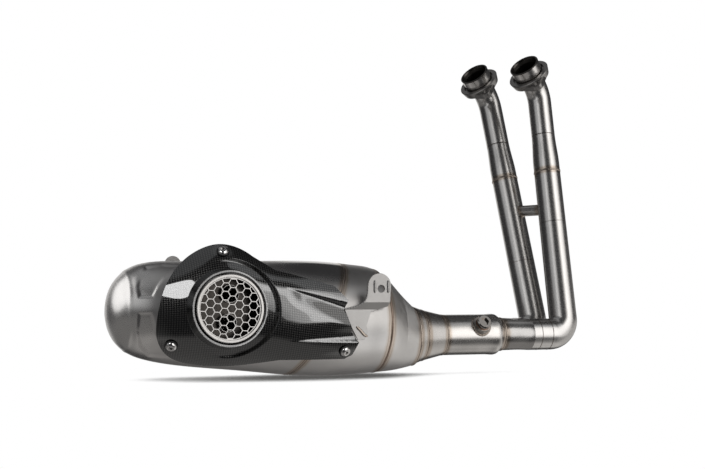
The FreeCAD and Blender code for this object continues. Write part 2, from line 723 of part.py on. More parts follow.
def make_outlet():
    """Cup set into the muffler's side, with two tail tubes behind a framed honeycomb."""
    face = spot(size("outlet_x"), size("outlet_y"), size("outlet_z"))
    inward = V(0, 1, 0)
    turned("outlet_ring", [
        ("ring_bore / 2", "ring_depth"), ("ring_bore / 2", "0.8"), ("ring_bore / 2 + 0.8", "0"),
        ("ring_diameter / 2 - 1.5", "0"), ("ring_diameter / 2", "1.5"),
        ("ring_diameter / 2", "ring_depth")], face, inward)
    cup = turned("outlet_cup_blank", [
        ("0", "cup_depth"), ("0", "cup_depth - pipe_wall"),
        ("cup_diameter / 2 - pipe_wall", "cup_depth - pipe_wall"),
        ("cup_diameter / 2 - pipe_wall", "ring_depth"), ("cup_diameter / 2", "ring_depth"),
        ("cup_diameter / 2", "cup_depth")], face, inward)
    drills = []
    for level, sign in (("upper", 1), ("lower", -1)):
        start = face + inward * size("tail_start") + V(
            size("tail_lead") + sign * size("tail_skew"), 0, sign * size("tail_spread"))
        drills.append(cylinder("tail_drill_" + level, "tail_diameter / 2", size("tail_length"),
                               start, inward))
        turned("tail_tube_" + level, pipe_profile([
            ("tail_diameter / 2", "0"), ("tail_diameter / 2", "tail_length")]), start, inward)
    cut("outlet_cup", cup, *drills)
    make_mesh(face + inward * size("mesh_recess"), inward)


def make_mesh(front, inward):
    """Honeycomb plate: its outer hexagons are cut off by a narrow rim."""
    radius = size("ring_bore") / 2
    pitch = size("mesh_pitch")
    hexagon_radius = (pitch - size("mesh_web")) / math.sqrt(3)
    tilt = math.radians(-3.5)
    reach = int(radius / pitch) + 1
    cells = []
    for column in range(-reach - 1, reach + 2):
        for row in range(-reach - 1, reach + 2):
            across = column * pitch * math.sqrt(3) / 2
            up = (row + 0.5 * (column % 2)) * pitch
            x = size("mesh_lead") + across * math.cos(tilt) - up * math.sin(tilt)
            z = across * math.sin(tilt) + up * math.cos(tilt)
            if math.hypot(x, z) < radius + 4:
                cells.append((x, z))
    prisms = []
    for across, up in cells:
        corners = [front + V(across + hexagon_radius * math.cos(tilt + math.radians(60 * k)), -1,
                             up + hexagon_radius * math.sin(tilt + math.radians(60 * k)))
                   for k in range(7)]
        prisms.append(Part.Face(Part.makePolygon(corners)).extrude(inward * 5))
    trim = Part.makeCylinder(radius - 1.2, 5, front - inward, inward)
    openings = [prism.common(trim) for prism in prisms]
    openings = [opening for opening in openings if opening.Volume > 40]
    plate = cylinder("mesh_plate", "ring_bore / 2", size("mesh_thick"), front, inward)
    cut("outlet_mesh", plate, fixed("mesh_openings", Part.makeCompound(openings)))


# ---------------------------------------------------------------- heat shield

def face_point(solid, x, z):
    """Where a line of sight along +Y first meets a solid, over a point of the side view."""
    sight = Part.makeLine(spot(x, -150, z), spot(x, 0, z))
    return min((corner.Point for corner in solid.common(sight).Vertexes), key=lambda p: p.y)


def face_normal(solid, x, z):
    """Outward normal of the same face, from its slopes along and up."""
    step = 6.0
    along_x = face_point(solid, x + step, z) - face_point(solid, x - step, z)
    along_z = face_point(solid, x, z + step) - face_point(solid, x, z - step)
    return along_x.cross(along_z).normalize()


def make_shield(muffler_outer):
    """Carbon shield that follows the muffler at a distance, with its screws, washers and bosses."""
    thick = size("shield_thick")
    outer = body_loft("shield_outer", SHIELD_SECTIONS)
    inner = body_loft("shield_inner", SHIELD_SECTIONS, thick)
    skin = cut("shield_skin", outer, inner)
    nearest, farthest = -150, -22
    curve = Part.BSplineCurve()
    curve.interpolate([spot(x, nearest, z) for x, z in SHIELD_CURVE])
    straight = Part.makePolygon([spot(x, nearest, z) for x, z in SHIELD_CORNERS])
    outline = Part.Wire([curve.toShape()] + straight.Edges)
    prism = Part.Face(outline).extrude(V(0, farthest - nearest, 0))
    panel = common("shield_panel", skin, fixed("shield_outline", prism))
    face = spot(size("outlet_x"), size("outlet_y"), size("outlet_z"))
    collar = turned("shield_collar", [
        ("shield_opening / 2 - 1", "collar_lift"),
        ("shield_opening / 2 + shield_thick", "collar_lift"),
        ("shield_opening / 2 + shield_thick + collar_flare", "collar_lift + collar_depth"),
        ("shield_opening / 2 - 1 + collar_flare", "collar_lift + collar_depth")],
        face, V(0, 1, 0))
    rim = cut("shield_rim", collar, inner)
    hole = cylinder("shield_hole", "shield_opening / 2", 120, face - V(0, 60, 0), V(0, 1, 0))
    whole = fuse("shield_whole", panel, rim)
    drills, screws, washers, bosses = [], [], [], []
    DOC.recompute()
    for name, (x, z) in SHIELD_SCREWS.items():
        seat, normal = face_point(outer.Shape, x, z), face_normal(outer.Shape, x, z)
        drills.append(cylinder("shield_drill_" + name, "screw_diameter / 2 + 0.3", 30,
                               seat - normal * 15, normal))
        bosses.append(make_boss(name, seat, normal, muffler_outer))
        washers.append(make_washer(name, seat, normal))
        screws.append(make_screw(name, seat, normal))
    cut("carbon_shield", whole, hole, *drills)
    for name, pieces in (("shield_bosses", bosses), ("shield_washers", washers),
                         ("shield_screws", screws)):
        group = new_part("Part::Compound", name)
        group.Links = pieces


def make_boss(name, seat, normal, muffler_outer):
    """Threaded boss welded on the muffler, trimmed to it, under the shield."""
    length = size("boss_length")
    bar = cylinder("boss_bar_" + name, "boss_diameter / 2", length,
                   seat - normal * (length + size("shield_thick") + 1.2), normal)
    thread = cylinder("boss_thread_" + name, "screw_diameter / 2", 12,
                      seat - normal * 14, normal)
    return cut("boss_" + name, bar, muffler_outer, thread)


def make_washer(name, seat, normal):
    """Black washer between a screw's head and the shield."""
    return turned("washer_" + name, [
        ("screw_diameter / 2 + 0.2", "washer_lift"), ("screw_washer / 2", "washer_lift"),
        ("screw_washer / 2 - 0.5", "head_seat"), ("screw_diameter / 2 + 0.2", "head_seat")],
        seat, normal)


def make_screw(name, seat, normal):
    """Button-head screw with a hexagon socket."""
    blank = turned("screw_blank_" + name, [
        ("0", "-screw_reach"), ("screw_diameter / 2 - 0.1", "-screw_reach"),
        ("screw_diameter / 2 - 0.1", "head_seat"), ("screw_head / 2", "head_seat"),
        ("screw_head / 2 - 0.6", "head_seat + 1.7"), ("screw_head / 2 - 2.8", "head_seat + 3.4"),
        ("0", "head_seat + 4.2")], seat, normal)
    socket = new_part("Part::Prism", "screw_socket_" + name)
    socket.Polygon = 6
    socket.Circumradius = 5 / math.sqrt(3)
    socket.Height = 5
    socket.Placement = FreeCAD.Placement(seat + normal * 3.2, along(normal))
    return cut("screw_" + name, blank, socket)


# ---------------------------------------------------------------- brackets

def make_frame_bracket():
    """Joggled sheet bracket: a tab with the frame bolt's hole, and a skirt on the muffler."""
    thick, joggle = size("bracket_sheet"), size("bracket_joggle")
    tab_y = -size("datum_y")
    skirt_y = tab_y + joggle
    upper, lower = BRACKET_FOLDS
    outer_line = [(tab_y, 100), (tab_y, upper), (skirt_y, lower), (skirt_y, -10)]
    front = [(y - thick / 2, z) for y, z in outer_line]
    back = [(y + thick / 2, z) for y, z in reversed(outer_line)]
    left, width = -400, 110
    section = Part.makePolygon([spot(left, y, z) for y, z in front + back + front[:1]])
    sheet = Part.Face(section).extrude(V(width, 0, 0))
    foot, crown = BRACKET_OUTLINE[0], BRACKET_OUTLINE[-1]
    edges = Part.makePolygon([spot(x, -130, z) for x, z in BRACKET_OUTLINE]).Edges
    top = Part.Arc(spot(crown[0], -130, crown[1]), spot(BRACKET_CROWN[0], -130, BRACKET_CROWN[1]),
                   spot(foot[0], -130, foot[1])).toShape()
    outline = Part.Face(Part.Wire(edges + [top])).extrude(V(0, 80, 0))
    blank = common("bracket_blank", fixed("bracket_sheet_form", sheet),
                   fixed("bracket_outline", outline))
    drill = cylinder("bracket_drill", "bracket_hole / 2", 20, V(0, -10, 0), V(0, 1, 0))
    cut("frame_bracket", blank, drill)


def make_rear_hanger(muffler_outer):
    """Upright hanger plate welded on the far shoulder of the muffler."""
    x, y, z = -595.0, 70.0, 109.5
    half, thick, foot = 12.0, size("hanger_sheet"), -14.0
    corners = [spot(x + half, y, z), spot(x + half, y, z + foot), spot(x - half, y, z + foot),
               spot(x - half, y, z)]
    edges = Part.makePolygon(corners).Edges
    top = Part.Arc(corners[-1], spot(x, y, z + half), corners[0]).toShape()
    plate = Part.Face(Part.Wire(edges + [top])).extrude(V(0, thick, 0))
    drill = cylinder("hanger_drill", "hanger_hole / 2", 20, spot(x, y - 8, z), V(0, 1, 0))
    cut("rear_hanger", fixed("hanger_plate", plate), muffler_outer, drill)


NODES = [
    "spigot_right", "spigot_left", "port_flange_right", "port_flange_left",
    "header_upper_right", "header_upper_left", "header_step_right", "header_step_left",
    "header_lower_right", "header_lower_left", "elbow_right", "elbow_left",
    "sleeve_right", "sleeve_left", "crossover_tube", "collector", "link_pipe",
    "lambda_bung", "lambda_washer", "lambda_plug", "inlet_cone",
    "muffler_front_cone", "muffler_front_shell", "muffler_main_shell", "muffler_rear_cap",
    "core_tube", "front_baffle", "rear_baffle", "packing",
    "outlet_ring", "outlet_mesh", "outlet_cup", "tail_tube_upper", "tail_tube_lower",
    "carbon_shield", "shield_bosses", "shield_washers", "shield_screws",
    "frame_bracket", "rear_hanger",
]


def build():
    for side in ("right", "left"):
        make_spigot(side)
        make_flange(side)
        make_header(side)
    make_brace()
    make_collector()
    make_link_pipe()
    make_inlet_cone()
    muffler_outer = make_muffler()
    make_outlet()
    make_shield(muffler_outer)
    make_frame_bracket()
    make_rear_hanger(muffler_outer)


def check():
    """Stop on any object that failed, and on any node that isn't a valid solid."""
    for thing in DOC.Objects:
        if "Invalid" in thing.State or "Error" in thing.State:
            raise RuntimeError("%s failed: %s" % (thing.Label, thing.State))
    for name in NODES:
        shape = DOC.getObjectsByLabel(name)[0].Shape
        if shape.isNull() or not shape.isValid() or not shape.Solids:
            raise RuntimeError(name + " is not a valid solid")


def export():
    """One STEP file for each node."""
    os.makedirs("parts", exist_ok=True)
    for name in NODES:
        shape = DOC.getObjectsByLabel(name)[0].Shape
        shape.exportStep("parts/%s.step" % name)
        print("%-22s solids %d  volume %9.0f" % (name, len(shape.Solids), shape.Volume))


build()
DOC.recompute()
check()
export()
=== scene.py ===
"""Looks of the racing exhaust system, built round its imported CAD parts."""
import json
import math

import bpy
import numpy as np
from mathutils import Matrix, Vector
from mathutils.bvhtree import BVHTree

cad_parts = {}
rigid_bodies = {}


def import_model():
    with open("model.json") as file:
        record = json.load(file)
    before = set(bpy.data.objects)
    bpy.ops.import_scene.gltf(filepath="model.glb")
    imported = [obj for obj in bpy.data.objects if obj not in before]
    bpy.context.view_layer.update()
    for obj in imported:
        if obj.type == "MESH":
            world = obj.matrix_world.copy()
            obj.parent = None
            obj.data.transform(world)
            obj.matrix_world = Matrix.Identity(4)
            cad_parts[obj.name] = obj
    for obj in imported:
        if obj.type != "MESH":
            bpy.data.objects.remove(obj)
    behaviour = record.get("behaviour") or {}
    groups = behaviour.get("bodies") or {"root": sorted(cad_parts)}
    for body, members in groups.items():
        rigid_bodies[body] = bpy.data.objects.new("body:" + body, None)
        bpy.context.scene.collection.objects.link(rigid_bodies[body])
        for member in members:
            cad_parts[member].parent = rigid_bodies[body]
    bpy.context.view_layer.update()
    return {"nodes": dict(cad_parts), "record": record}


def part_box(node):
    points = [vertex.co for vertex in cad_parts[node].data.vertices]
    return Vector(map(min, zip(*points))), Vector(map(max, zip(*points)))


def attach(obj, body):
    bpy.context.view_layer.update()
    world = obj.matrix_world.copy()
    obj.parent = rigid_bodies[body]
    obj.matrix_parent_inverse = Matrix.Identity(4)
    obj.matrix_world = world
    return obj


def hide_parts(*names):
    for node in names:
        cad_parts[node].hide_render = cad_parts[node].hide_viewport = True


MM = 0.001
ROOT = "exhaust"
SIDES = ("right", "left")

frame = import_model()
NODES = frame["nodes"]
MOUNTS = {mount["name"]: mount for mount in frame["record"]["mounts"]}

# pipe millimetres: X along the collector's axis, Z up, from this point of the row frame
DATUM = np.array([327.5, 103.0, -72.0])
# outside radii in mm: header above and below its step, at the elbow and at the sleeve, link pipe
UPPER, LOWER, FOOT, SLEEVE, LINK = 19.0, 21.2, 22.25, 24.8, 31.75
# thickness of the pipes' wall
WALL = 1.2


def place(points):
    """Points in pipe coordinates (mm) as row-frame metres."""
    return (np.asarray(points, float) + DATUM) * MM


def local(metres):
    """Row-frame metres as points in pipe coordinates (mm)."""
    return np.array(metres) / MM - DATUM


def box(name):
    """Lowest and highest corner of a CAD node in pipe coordinates."""
    return [local(corner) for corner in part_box(name)]


def vertices(name):
    return local([v.co for v in NODES[name].data.vertices])


def unit(vector):
    """A vector, or each row of an array of them, at length 1."""
    vector = np.asarray(vector, float)
    return vector / np.linalg.norm(vector, axis=-1, keepdims=True)


def ratio(value, low, high):
    """How far a value is from low to high, from 0 to 1."""
    return np.clip((value - low) / (high - low), 0, 1)


def smooth_step(low, high, value):
    share = ratio(value, low, high)
    return share * share * (3 - 2 * share)


# ---------------------------------------------------------------- material kit

class Nodes:
    """A node tree that nodes are added to, with values or links on their inputs."""

    def __init__(self, tree):
        self.tree = tree

    def node(self, kind, inputs=None, **settings):
        made = self.tree.nodes.new("ShaderNode" + kind)
        for key, value in settings.items():
            setattr(made, key, value)
        for key, value in (inputs or {}).items():
            self.feed(made.inputs[key], value)
        return made

    def feed(self, socket, value):
        if isinstance(value, bpy.types.NodeSocket):
            self.tree.links.new(value, socket)
        else:
            socket.default_value = value

    def math(self, operation, *values):
        made = self.node("Math", operation=operation)
        for index, value in enumerate(values):
            self.feed(made.inputs[index], value)
        return made.outputs[0]

    def product(self, *values):
        total = values[0]
        for value in values[1:]:
            total = self.math("MULTIPLY", total, value)
        return total

    def ramp(self, value, stops):
        made = self.node("ValToRGB", {"Fac": value})
        elements = made.color_ramp.elements
        while len(elements) < len(stops):
            elements.new(0.5)
        for element, (position, colour) in zip(elements, stops):
            element.position = position
            if not isinstance(colour, tuple):
                colour = (colour, colour, colour)
            element.color = (*colour, 1)
        return made.outputs["Color"]

    def remap(self, value, low, high, out_low=0.0, out_high=1.0, **settings):
        made = self.node("MapRange", {"Value": value, "From Min": low, "From Max": high,
                                      "To Min": out_low, "To Max": out_high}, **settings)
        return made.outputs["Result"]


class Paint(Nodes):
    """A procedural material: a Principled shader and the nodes that feed it."""

    def __init__(self, name, **sockets):
        self.material = bpy.data.materials.new(name)
        self.material.use_nodes = True
        super().__init__(self.material.node_tree)
        self.shader = self.tree.nodes["Principled BSDF"]
        for socket, value in sockets.items():
            self.shader.inputs[socket.replace("_", " ")].default_value = value
        self.coordinates = None

    def where(self):
        """Object coordinates: the row frame's metres at rest, which move with the piece."""
        if self.coordinates is None:
            self.coordinates = self.node("TexCoord").outputs["Object"]
        return self.coordinates

    def parts(self):
        return self.node("SeparateXYZ", {"Vector": self.where()}).outputs

    def leant(self, lean):
        """X less lean times Z: the same all over a plane that leans."""
        parts = self.parts()
        return self.math("SUBTRACT", parts["X"], self.product(parts["Z"], lean))

    def noise(self, scale, detail):
        made = self.node("TexNoise", {"Vector": self.where(), "Scale": scale, "Detail": detail})
        return made.outputs["Fac"]

    def mix(self, share, first, second, mode="MIX"):
        made = self.node("Mix", data_type="RGBA", blend_type=mode)
        for socket, value in zip((made.inputs["Factor"], made.inputs[6], made.inputs[7]),
                                 (share, first, second)):
            self.feed(socket, value)
        return made.outputs[2]

    def bump(self, *layers):
        """Stack of (height, distance in metres, strength) bumps on the shader's normal."""
        normal = None
        for height, distance, strength in layers:
            made = self.node("Bump", {"Height": height, "Distance": distance,
                                      "Strength": strength})
            if normal is not None:
                self.feed(made.inputs["Normal"], normal)
            normal = made.outputs[0]
        self.feed(self.shader.inputs["Normal"], normal)

    def colour(self, value):
        self.feed(self.shader.inputs["Base Color"], value)

    def roughness(self, value):
        self.feed(self.shader.inputs["Roughness"], value)


# name of the mesh attribute that holds each point's distance from a weld, in metres
WELD_DISTANCE = "weld_distance"
# tint of the metal from a weld outwards
HEAT = [(0.0, (0.26, 0.20, 0.16)), (0.14, (0.42, 0.33, 0.26)), (0.24, (0.80, 0.70, 0.61)),
        (0.40, (0.84, 0.77, 0.70)), (0.50, (0.62, 0.52, 0.44)), (0.60, (0.88, 0.83, 0.78)),
        (1.0, (1.0, 1.0, 1.0))]


def heat_tint(paint, metres, reach, base):
    """Brown to straw to clean metal with the distance from a weld."""
    share = paint.math("DIVIDE", metres, reach)
    wobble = paint.remap(paint.noise(60, 2), 0.3, 0.7, -0.06, 0.06)
    return paint.mix(1.0, paint.ramp(paint.math("ADD", share, wobble), HEAT), base, "MULTIPLY")


def metal(name, tone, rough, wave=0.0, grain=0.02, seams=(), reach=0.009, tinted=False,
          cloudy=0.88, polish=None):
    """Sheet or turned metal: cloudy tone, uneven polish, rolled waviness and tinted welds.

    A seam is (X of the weld, lean): the weld's plane moves lean metres in X for each metre up.
    Tinted says that the mesh holds each point's distance from its nearest weld.
    """
    paint = Paint(name, Metallic=1.0, Specular_IOR_Level=0.5)
    dark = tuple(c * cloudy for c in tone)
    base = paint.ramp(paint.noise(22, 4), [(0.30, dark), (0.70, tone)])
    far = None
    if tinted:
        far = paint.node("Attribute", attribute_name=WELD_DISTANCE).outputs["Fac"]
    for seam, lean in seams:
        gap = paint.math("ABSOLUTE", paint.math("SUBTRACT", paint.leant(lean), seam))
        far = gap if far is None else paint.math("MINIMUM", far, gap)
    paint.colour(base if far is None else heat_tint(paint, far, reach, base))
    fine = paint.noise(900, 3)
    matte = paint.remap(fine, 0.3, 0.7, rough * 0.88, rough * 1.14)
    if polish:
        matte = polish(paint, matte)
    paint.roughness(matte)
    layers = [(fine, 0.00005, grain)]
    if wave:
        layers.append((paint.noise(26, 1), 0.0012, wave))
    paint.bump(*layers)
    return paint.material


def polished_top(paint, matte):
    """The muffler's shell is bright-polished between the outlet and the shell's weld."""
    parts = paint.parts()
    leant = paint.leant(SHELL_LEAN)
    rear = paint.remap(leant, -0.185, -0.105)
    front = paint.remap(leant, SHELL_SEAM - 0.004, SHELL_SEAM + 0.003, 1.0, 0.0)
    side = paint.remap(parts["Y"], 0.11, 0.19, 1.0, 0.0)
    upper = paint.remap(parts["Z"], 0.0, 0.03)
    wide = paint.remap(paint.product(rear, front, side, upper), 0.0, 1.0, 1.0, 0.24)
    cap = paint.remap(parts["X"], -0.318, -0.306, 0.68, 1.0)
    return paint.product(matte, wide, cap)


def carbon():
    """Plain weave laid at 45 degrees under clear coat, each tow painted darker towards its edges as
    painted shade of the weave's hollows; UV holds millimetres on the laminate.
    """
    paint = Paint("carbon_weave", Metallic=1.0, Roughness=0.42, Coat_Weight=1.0,
                  Coat_Roughness=0.03, Coat_IOR=1.95)
    uv = paint.node("UVMap", uv_map="UVMap").outputs[0]
    turned = paint.node("Mapping", {"Vector": uv, "Rotation": (0, 0, math.radians(45)),
                                    "Scale": (1 / TOW, 1 / TOW, 1)}).outputs[0]
    parts = paint.node("SeparateXYZ", {"Vector": turned})
    along, across = parts.outputs["X"], parts.outputs["Y"]
    parity = paint.math("ADD", paint.math("FLOOR", along), paint.math("FLOOR", across))
    over = paint.math("MODULO", paint.math("ABSOLUTE", parity), 2.0)
    crowns = []
    for axis, other in ((along, across), (across, along)):
        bow = paint.math("SINE", paint.product(paint.math("FRACT", axis), math.pi))
        end = paint.math("SINE", paint.product(paint.math("FRACT", other), math.pi))
        crowns.append(paint.product(paint.math("POWER", bow, 0.5),
                                    paint.math("POWER", end, 0.35)))
    height = paint.node("Mix", {"Factor": over, "A": crowns[0], "B": crowns[1]}).outputs[0]
    strands = paint.node("TexNoise", {"Vector": turned, "Scale": 7.0, "Detail": 2.0})
    tow = paint.mix(over, (0.003, 0.003, 0.003, 1), (0.085, 0.083, 0.08, 1))
    # painted shade: each tow is painted darker from its crown towards the hollows between tows
    shade = paint.ramp(height, [(0.0, 0.12), (0.55, 0.7), (1.0, 1.0)])
    tone = paint.ramp(strands.outputs["Fac"], [(0.35, 0.8), (0.65, 1.15)])
    cloth = paint.mix(1.0, paint.mix(1.0, tow, shade, "MULTIPLY"), tone, "MULTIPLY")
    paint.colour(cloth)
    paint.bump((height, 0.00012, 0.5))
    return paint.material


def dull_black(name, tone, rough):
    paint = Paint(name, Specular_IOR_Level=0.4)
    cloud = paint.noise(300, 3)
    paint.colour(paint.ramp(cloud, [(0.3, tone * 0.7), (0.7, tone * 1.3)]))
    paint.roughness(paint.remap(cloud, 0.3, 0.7, rough * 0.85, rough * 1.1))
    paint.bump((paint.noise(1500, 2), 0.0001, 0.3))
    return paint.material


# width of a tow in mm, and the weld round the shell: its X at the frame's origin, and its lean
TOW = 2.35
SHELL_SEAM, SHELL_LEAN = -0.0505, 0.5
# X of the welds, in pipe millimetres
MAIN_WELD, CONE_WELD, LINK_REAR, COLLECTOR_REAR, WAIST = -305, -238, -187, -84, -222


def upright(*stations):
    """Seams square to the pipe axis, for a metal."""
    return [((x + DATUM[0]) * MM, 0.0) for x in stations]


PAINTS = {
    "header": metal("header_steel", (0.58, 0.565, 0.55), 0.26, wave=0.12,
                    tinted=True, reach=0.008),
    "link": metal("link_steel", (0.60, 0.58, 0.56), 0.27, wave=0.26,
                  seams=upright(COLLECTOR_REAR, LINK_REAR, WAIST, CONE_WELD), reach=0.008,
                  cloudy=0.8),
    "muffler": metal("muffler_titanium", (0.62, 0.605, 0.59), 0.42, wave=0.08,
                     seams=[(SHELL_SEAM, SHELL_LEAN)] + upright(MAIN_WELD, CONE_WELD),
                     reach=0.010, polish=polished_top),
    "bead": metal("weld_bead", (0.52, 0.45, 0.39), 0.25, grain=0.1),
    "dark_bead": metal("scorched_bead", (0.30, 0.23, 0.19), 0.30, grain=0.1),
    "bracket": metal("bracket_steel", (0.50, 0.49, 0.48), 0.42, grain=0.05),
    "collar": metal("collar_steel", (0.66, 0.64, 0.62), 0.20),
    "bung": metal("bung_steel", (0.42, 0.39, 0.36), 0.20),
    # partly painted reflection: the plug's steel is painted darker than plain steel, as a painted
    # dark reflection
    "plug": metal("plug_steel_painted_dark", (0.40, 0.375, 0.35), 0.14),
    "flange": metal("flange_steel", (0.34, 0.33, 0.32), 0.34, grain=0.06),
    # painted shade: the collar's rim is painted near black, as the shade of the mouth
    "rim": metal("rim_painted_dark", (0.06, 0.055, 0.05), 0.22),
    "ring": metal("outlet_steel", (0.60, 0.585, 0.57), 0.30),
    "mesh": metal("mesh_steel", (0.66, 0.645, 0.63), 0.34),
    # painted shade: the inside of the outlet cup and the muffler's inner parts are painted near
    # black
    "inner": metal("inner_steel", (0.055, 0.05, 0.046), 0.24, wave=0.5, grain=0.1),
    # painted shade: the collar's bore is painted near black, as the shade inside the mouth
    "bore_shade": metal("bore_painted_shade", (0.035, 0.033, 0.03), 0.50, grain=0.1),
    "screw": metal("screw_steel", (0.60, 0.59, 0.58), 0.16),
    "copper": metal("washer_copper", (0.42, 0.27, 0.20), 0.35),
    "carbon": carbon(),
    "rubber": dull_black("washer_rubber", 0.012, 0.45),
    "fibre": dull_black("glass_fibre", 0.5, 0.9),
}


# ---------------------------------------------------------------- mesh kit

def piece(name, points, faces, paint, replaces=(), uvs=None, values=None, sharp=None):
    """One smooth mesh object that rides on the exhaust."""
    mesh = bpy.data.meshes.new(name)
    mesh.from_pydata([tuple(p) for p in points], [], [tuple(f) for f in faces])
    mesh.update()
    if uvs is not None:
        layer = mesh.uv_layers.new(name="UVMap")
        corner = np.zeros(len(mesh.loops), int)
        mesh.loops.foreach_get("vertex_index", corner)
        layer.data.foreach_set("uv", np.asarray(uvs, float)[corner].ravel())
    if values is not None:
        held = mesh.attributes.new(WELD_DISTANCE, "FLOAT", "POINT")
        held.data.foreach_set("value", np.asarray(values, float))
    mesh.shade_smooth()
    if sharp:
        mesh.set_sharp_from_angle(angle=math.radians(sharp))
    made = bpy.data.objects.new(name, mesh)
    bpy.context.collection.objects.link(made)
    mesh.materials.append(PAINTS[paint])
    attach(made, ROOT)
    if replaces:
        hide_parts(*replaces)


def grid(rows, columns, around=True, flip=False):
    """Quads between rows of points."""
    faces = []
    for row in range(rows - 1):
        for column in range(columns if around else columns - 1):
            following = (column + 1) % columns
            quad = (row * columns + column, row * columns + following,
                    (row + 1) * columns + following, (row + 1) * columns + column)
            faces.append(quad[::-1] if flip else quad)
    return faces


def basis(axis):
    """Two unit vectors square to an axis."""
    axis = unit(axis)
    side = unit(np.cross(axis, (0, 0, 1) if abs(axis[2]) < 0.9 else (1, 0, 0)))
    return side, np.cross(axis, side)


def circle(first, second, steps):
    """Points of a unit circle from one direction towards another."""
    turn = np.linspace(0, 2 * math.pi, steps, endpoint=False)
    return np.cos(turn)[:, None] * first + np.sin(turn)[:, None] * second


def lathe(name, base, axis, profile, paint, replaces=(), steps=128, sharp=40):
    """Turned piece: profile is a list of (radius, height) in mm round an axis from a base."""
    axis = unit(axis)
    rim = circle(*basis(axis), steps)
    rings = [np.asarray(base) + height * MM * axis + radius * MM * rim
             for radius, height in profile]
    rings.append(rings[0])
    piece(name, np.concatenate(rings), grid(len(rings), steps), paint, replaces,
          sharp=sharp)


def rounded(profile, radius, steps=4):
    """A closed (radius, height) outline with every corner rounded."""
    count = len(profile)
    corners = [np.array(p, float) for p in profile]
    out = []
    for index in range(count):
        here = corners[index]
        before, after = corners[index - 1] - here, corners[(index + 1) % count] - here
        cut = min(radius, 0.45 * np.linalg.norm(before), 0.45 * np.linalg.norm(after))
        start, end = here + unit(before) * cut, here + unit(after) * cut
        for share in np.linspace(0, 1, steps + 1):
            out.append(tuple((1 - share) ** 2 * start + 2 * share * (1 - share) * here
                             + share ** 2 * end))
    return out


class Route:
    """Centre line of a pipe: straight runs joined by arcs."""

    def __init__(self, corners, bends):
        corners = [np.asarray(c, float) for c in corners]
        self.runs, self.marks, self.length = [], [], 0.0
        start = corners[0]
        for index, corner in enumerate(corners[1:], 1):
            ahead = unit(corner - corners[index - 1])
            if index == len(corners) - 1:
                self.add(start, ahead, np.linalg.norm(corner - start))
                break
            after = unit(corners[index + 1] - corner)
            turn = math.acos(float(np.clip(ahead @ after, -1, 1)))
            radius = bends[index - 1]
            reach = radius * math.tan(turn / 2)
            self.add(start, ahead, np.linalg.norm(corner - start) - reach)
            self.marks.append(self.length)
            self.add(corner - ahead * reach, ahead, radius * turn,
                     unit(after - ahead * (ahead @ after)), radius)
            self.marks.append(self.length)
            start = corner + after * reach

    def add(self, start, ahead, length, inward=None, radius=None):
        self.runs.append((self.length, start, ahead, inward, radius))
        self.length += length

    def at(self, far):
        """Point and direction at a distance along the line."""
        begin, start, ahead, inward, radius = [r for r in self.runs if r[0] <= far + 1e-9][-1]
        gone = far - begin
        if inward is None:
            return start + ahead * gone, ahead
        turn = gone / radius
        spot = start + ahead * radius * math.sin(turn) + inward * radius * (1 - math.cos(turn))
        return spot, ahead * math.cos(turn) + inward * math.sin(turn)


def pipe(name, route, begin, end, radius, welds=(), replaces=(), columns=96, pitch=1.5,
         lip=0.25):
    """Pipe wall along part of a route; radius is a function of the distance, all in mm."""
    rows = max(3, int((end - begin) / pitch) + 1)
    stations = np.linspace(begin, end, rows)
    spots = [route.at(s) for s in stations]
    side = basis(spots[0][1])[0]
    outer, inner, values = [], [], []
    for station, (centre, ahead) in zip(stations, spots):
        side = unit(side - ahead * (side @ ahead))
        rim = circle(side, np.cross(ahead, side), columns)
        edge = min(station - begin, end - station)
        size = radius(station) - lip * (edge < 0.01)
        outer.append(centre + rim * size)
        inner.append(centre + rim * (radius(station) - WALL))
        far = min([abs(station - weld) for weld in welds] or [99])
        values += [far * MM] * columns
    rings = outer + inner[::-1] + [outer[0]]
    values = values + values[::-1] + values[:columns]
    piece(name, place(np.concatenate(rings)), grid(len(rings), columns), "header",
          replaces, values=values, sharp=40)


def bead(name, line, outward, width, height, slot="pipe_steel", pitch=2.0, paint="bead",
         depth=0.28, closed=True):
    """Rippled weld bead along a line of points in pipe millimetres."""
    line = np.asarray(line, float)
    outward = unit(np.broadcast_to(outward, line.shape))
    if closed:
        forward = unit(np.roll(line, -1, 0) - np.roll(line, 1, 0))
        gaps = np.linalg.norm(line - np.roll(line, 1, 0), axis=1)
    else:
        forward = unit(np.gradient(line, axis=0))
        gaps = np.concatenate([[0], np.linalg.norm(np.diff(line, axis=0), axis=1)])
    side = unit(np.cross(forward, outward))
    gone = np.cumsum(gaps)
    ripples = max(3, round(gone[-1] / pitch))
    phase = (gone / gone[-1] * ripples) % 1.0
    swell = 1 - depth + depth * np.sqrt(np.clip(1 - (2 * phase - 1) ** 2, 0, 1))
    if not closed:
        edge = np.minimum(gone, gone[-1] - gone) / (width * 1.5)
        swell = swell * np.sqrt(np.clip(edge, 0.02, 1))
    section = np.linspace(0, 2 * math.pi, 12, endpoint=False)
    rings = []
    for index in range(len(line)):
        across = np.cos(section)[:, None] * side[index] * width * swell[index]
        upward = np.sin(section)[:, None] * outward[index] * height * swell[index]
        rings.append(line[index] + across + upward)
    if closed:
        rings.append(rings[0])
    piece(name, place(np.concatenate(rings)), grid(len(rings), len(section), flip=True),
          paint)


def resample(corners, pitch=0.25):
    """Points at an even pitch along a smooth line through the corners."""
    corners = np.array(corners, float)
    gone = np.concatenate([[0], np.cumsum(np.linalg.norm(np.diff(corners, axis=0), axis=1))])
    wanted = np.linspace(0, gone[-1], int(gone[-1] / pitch))
    return np.stack([spline(gone, corners[:, c], wanted) for c in range(3)], 1)


def ring_bead(name, centre, axis, radius, width=1.3, height=0.6, **more):
    """Bead round a pipe."""
    rim = circle(*basis(axis), 420)
    bead(name, np.asarray(centre) + rim * radius, rim, width, height, **more)


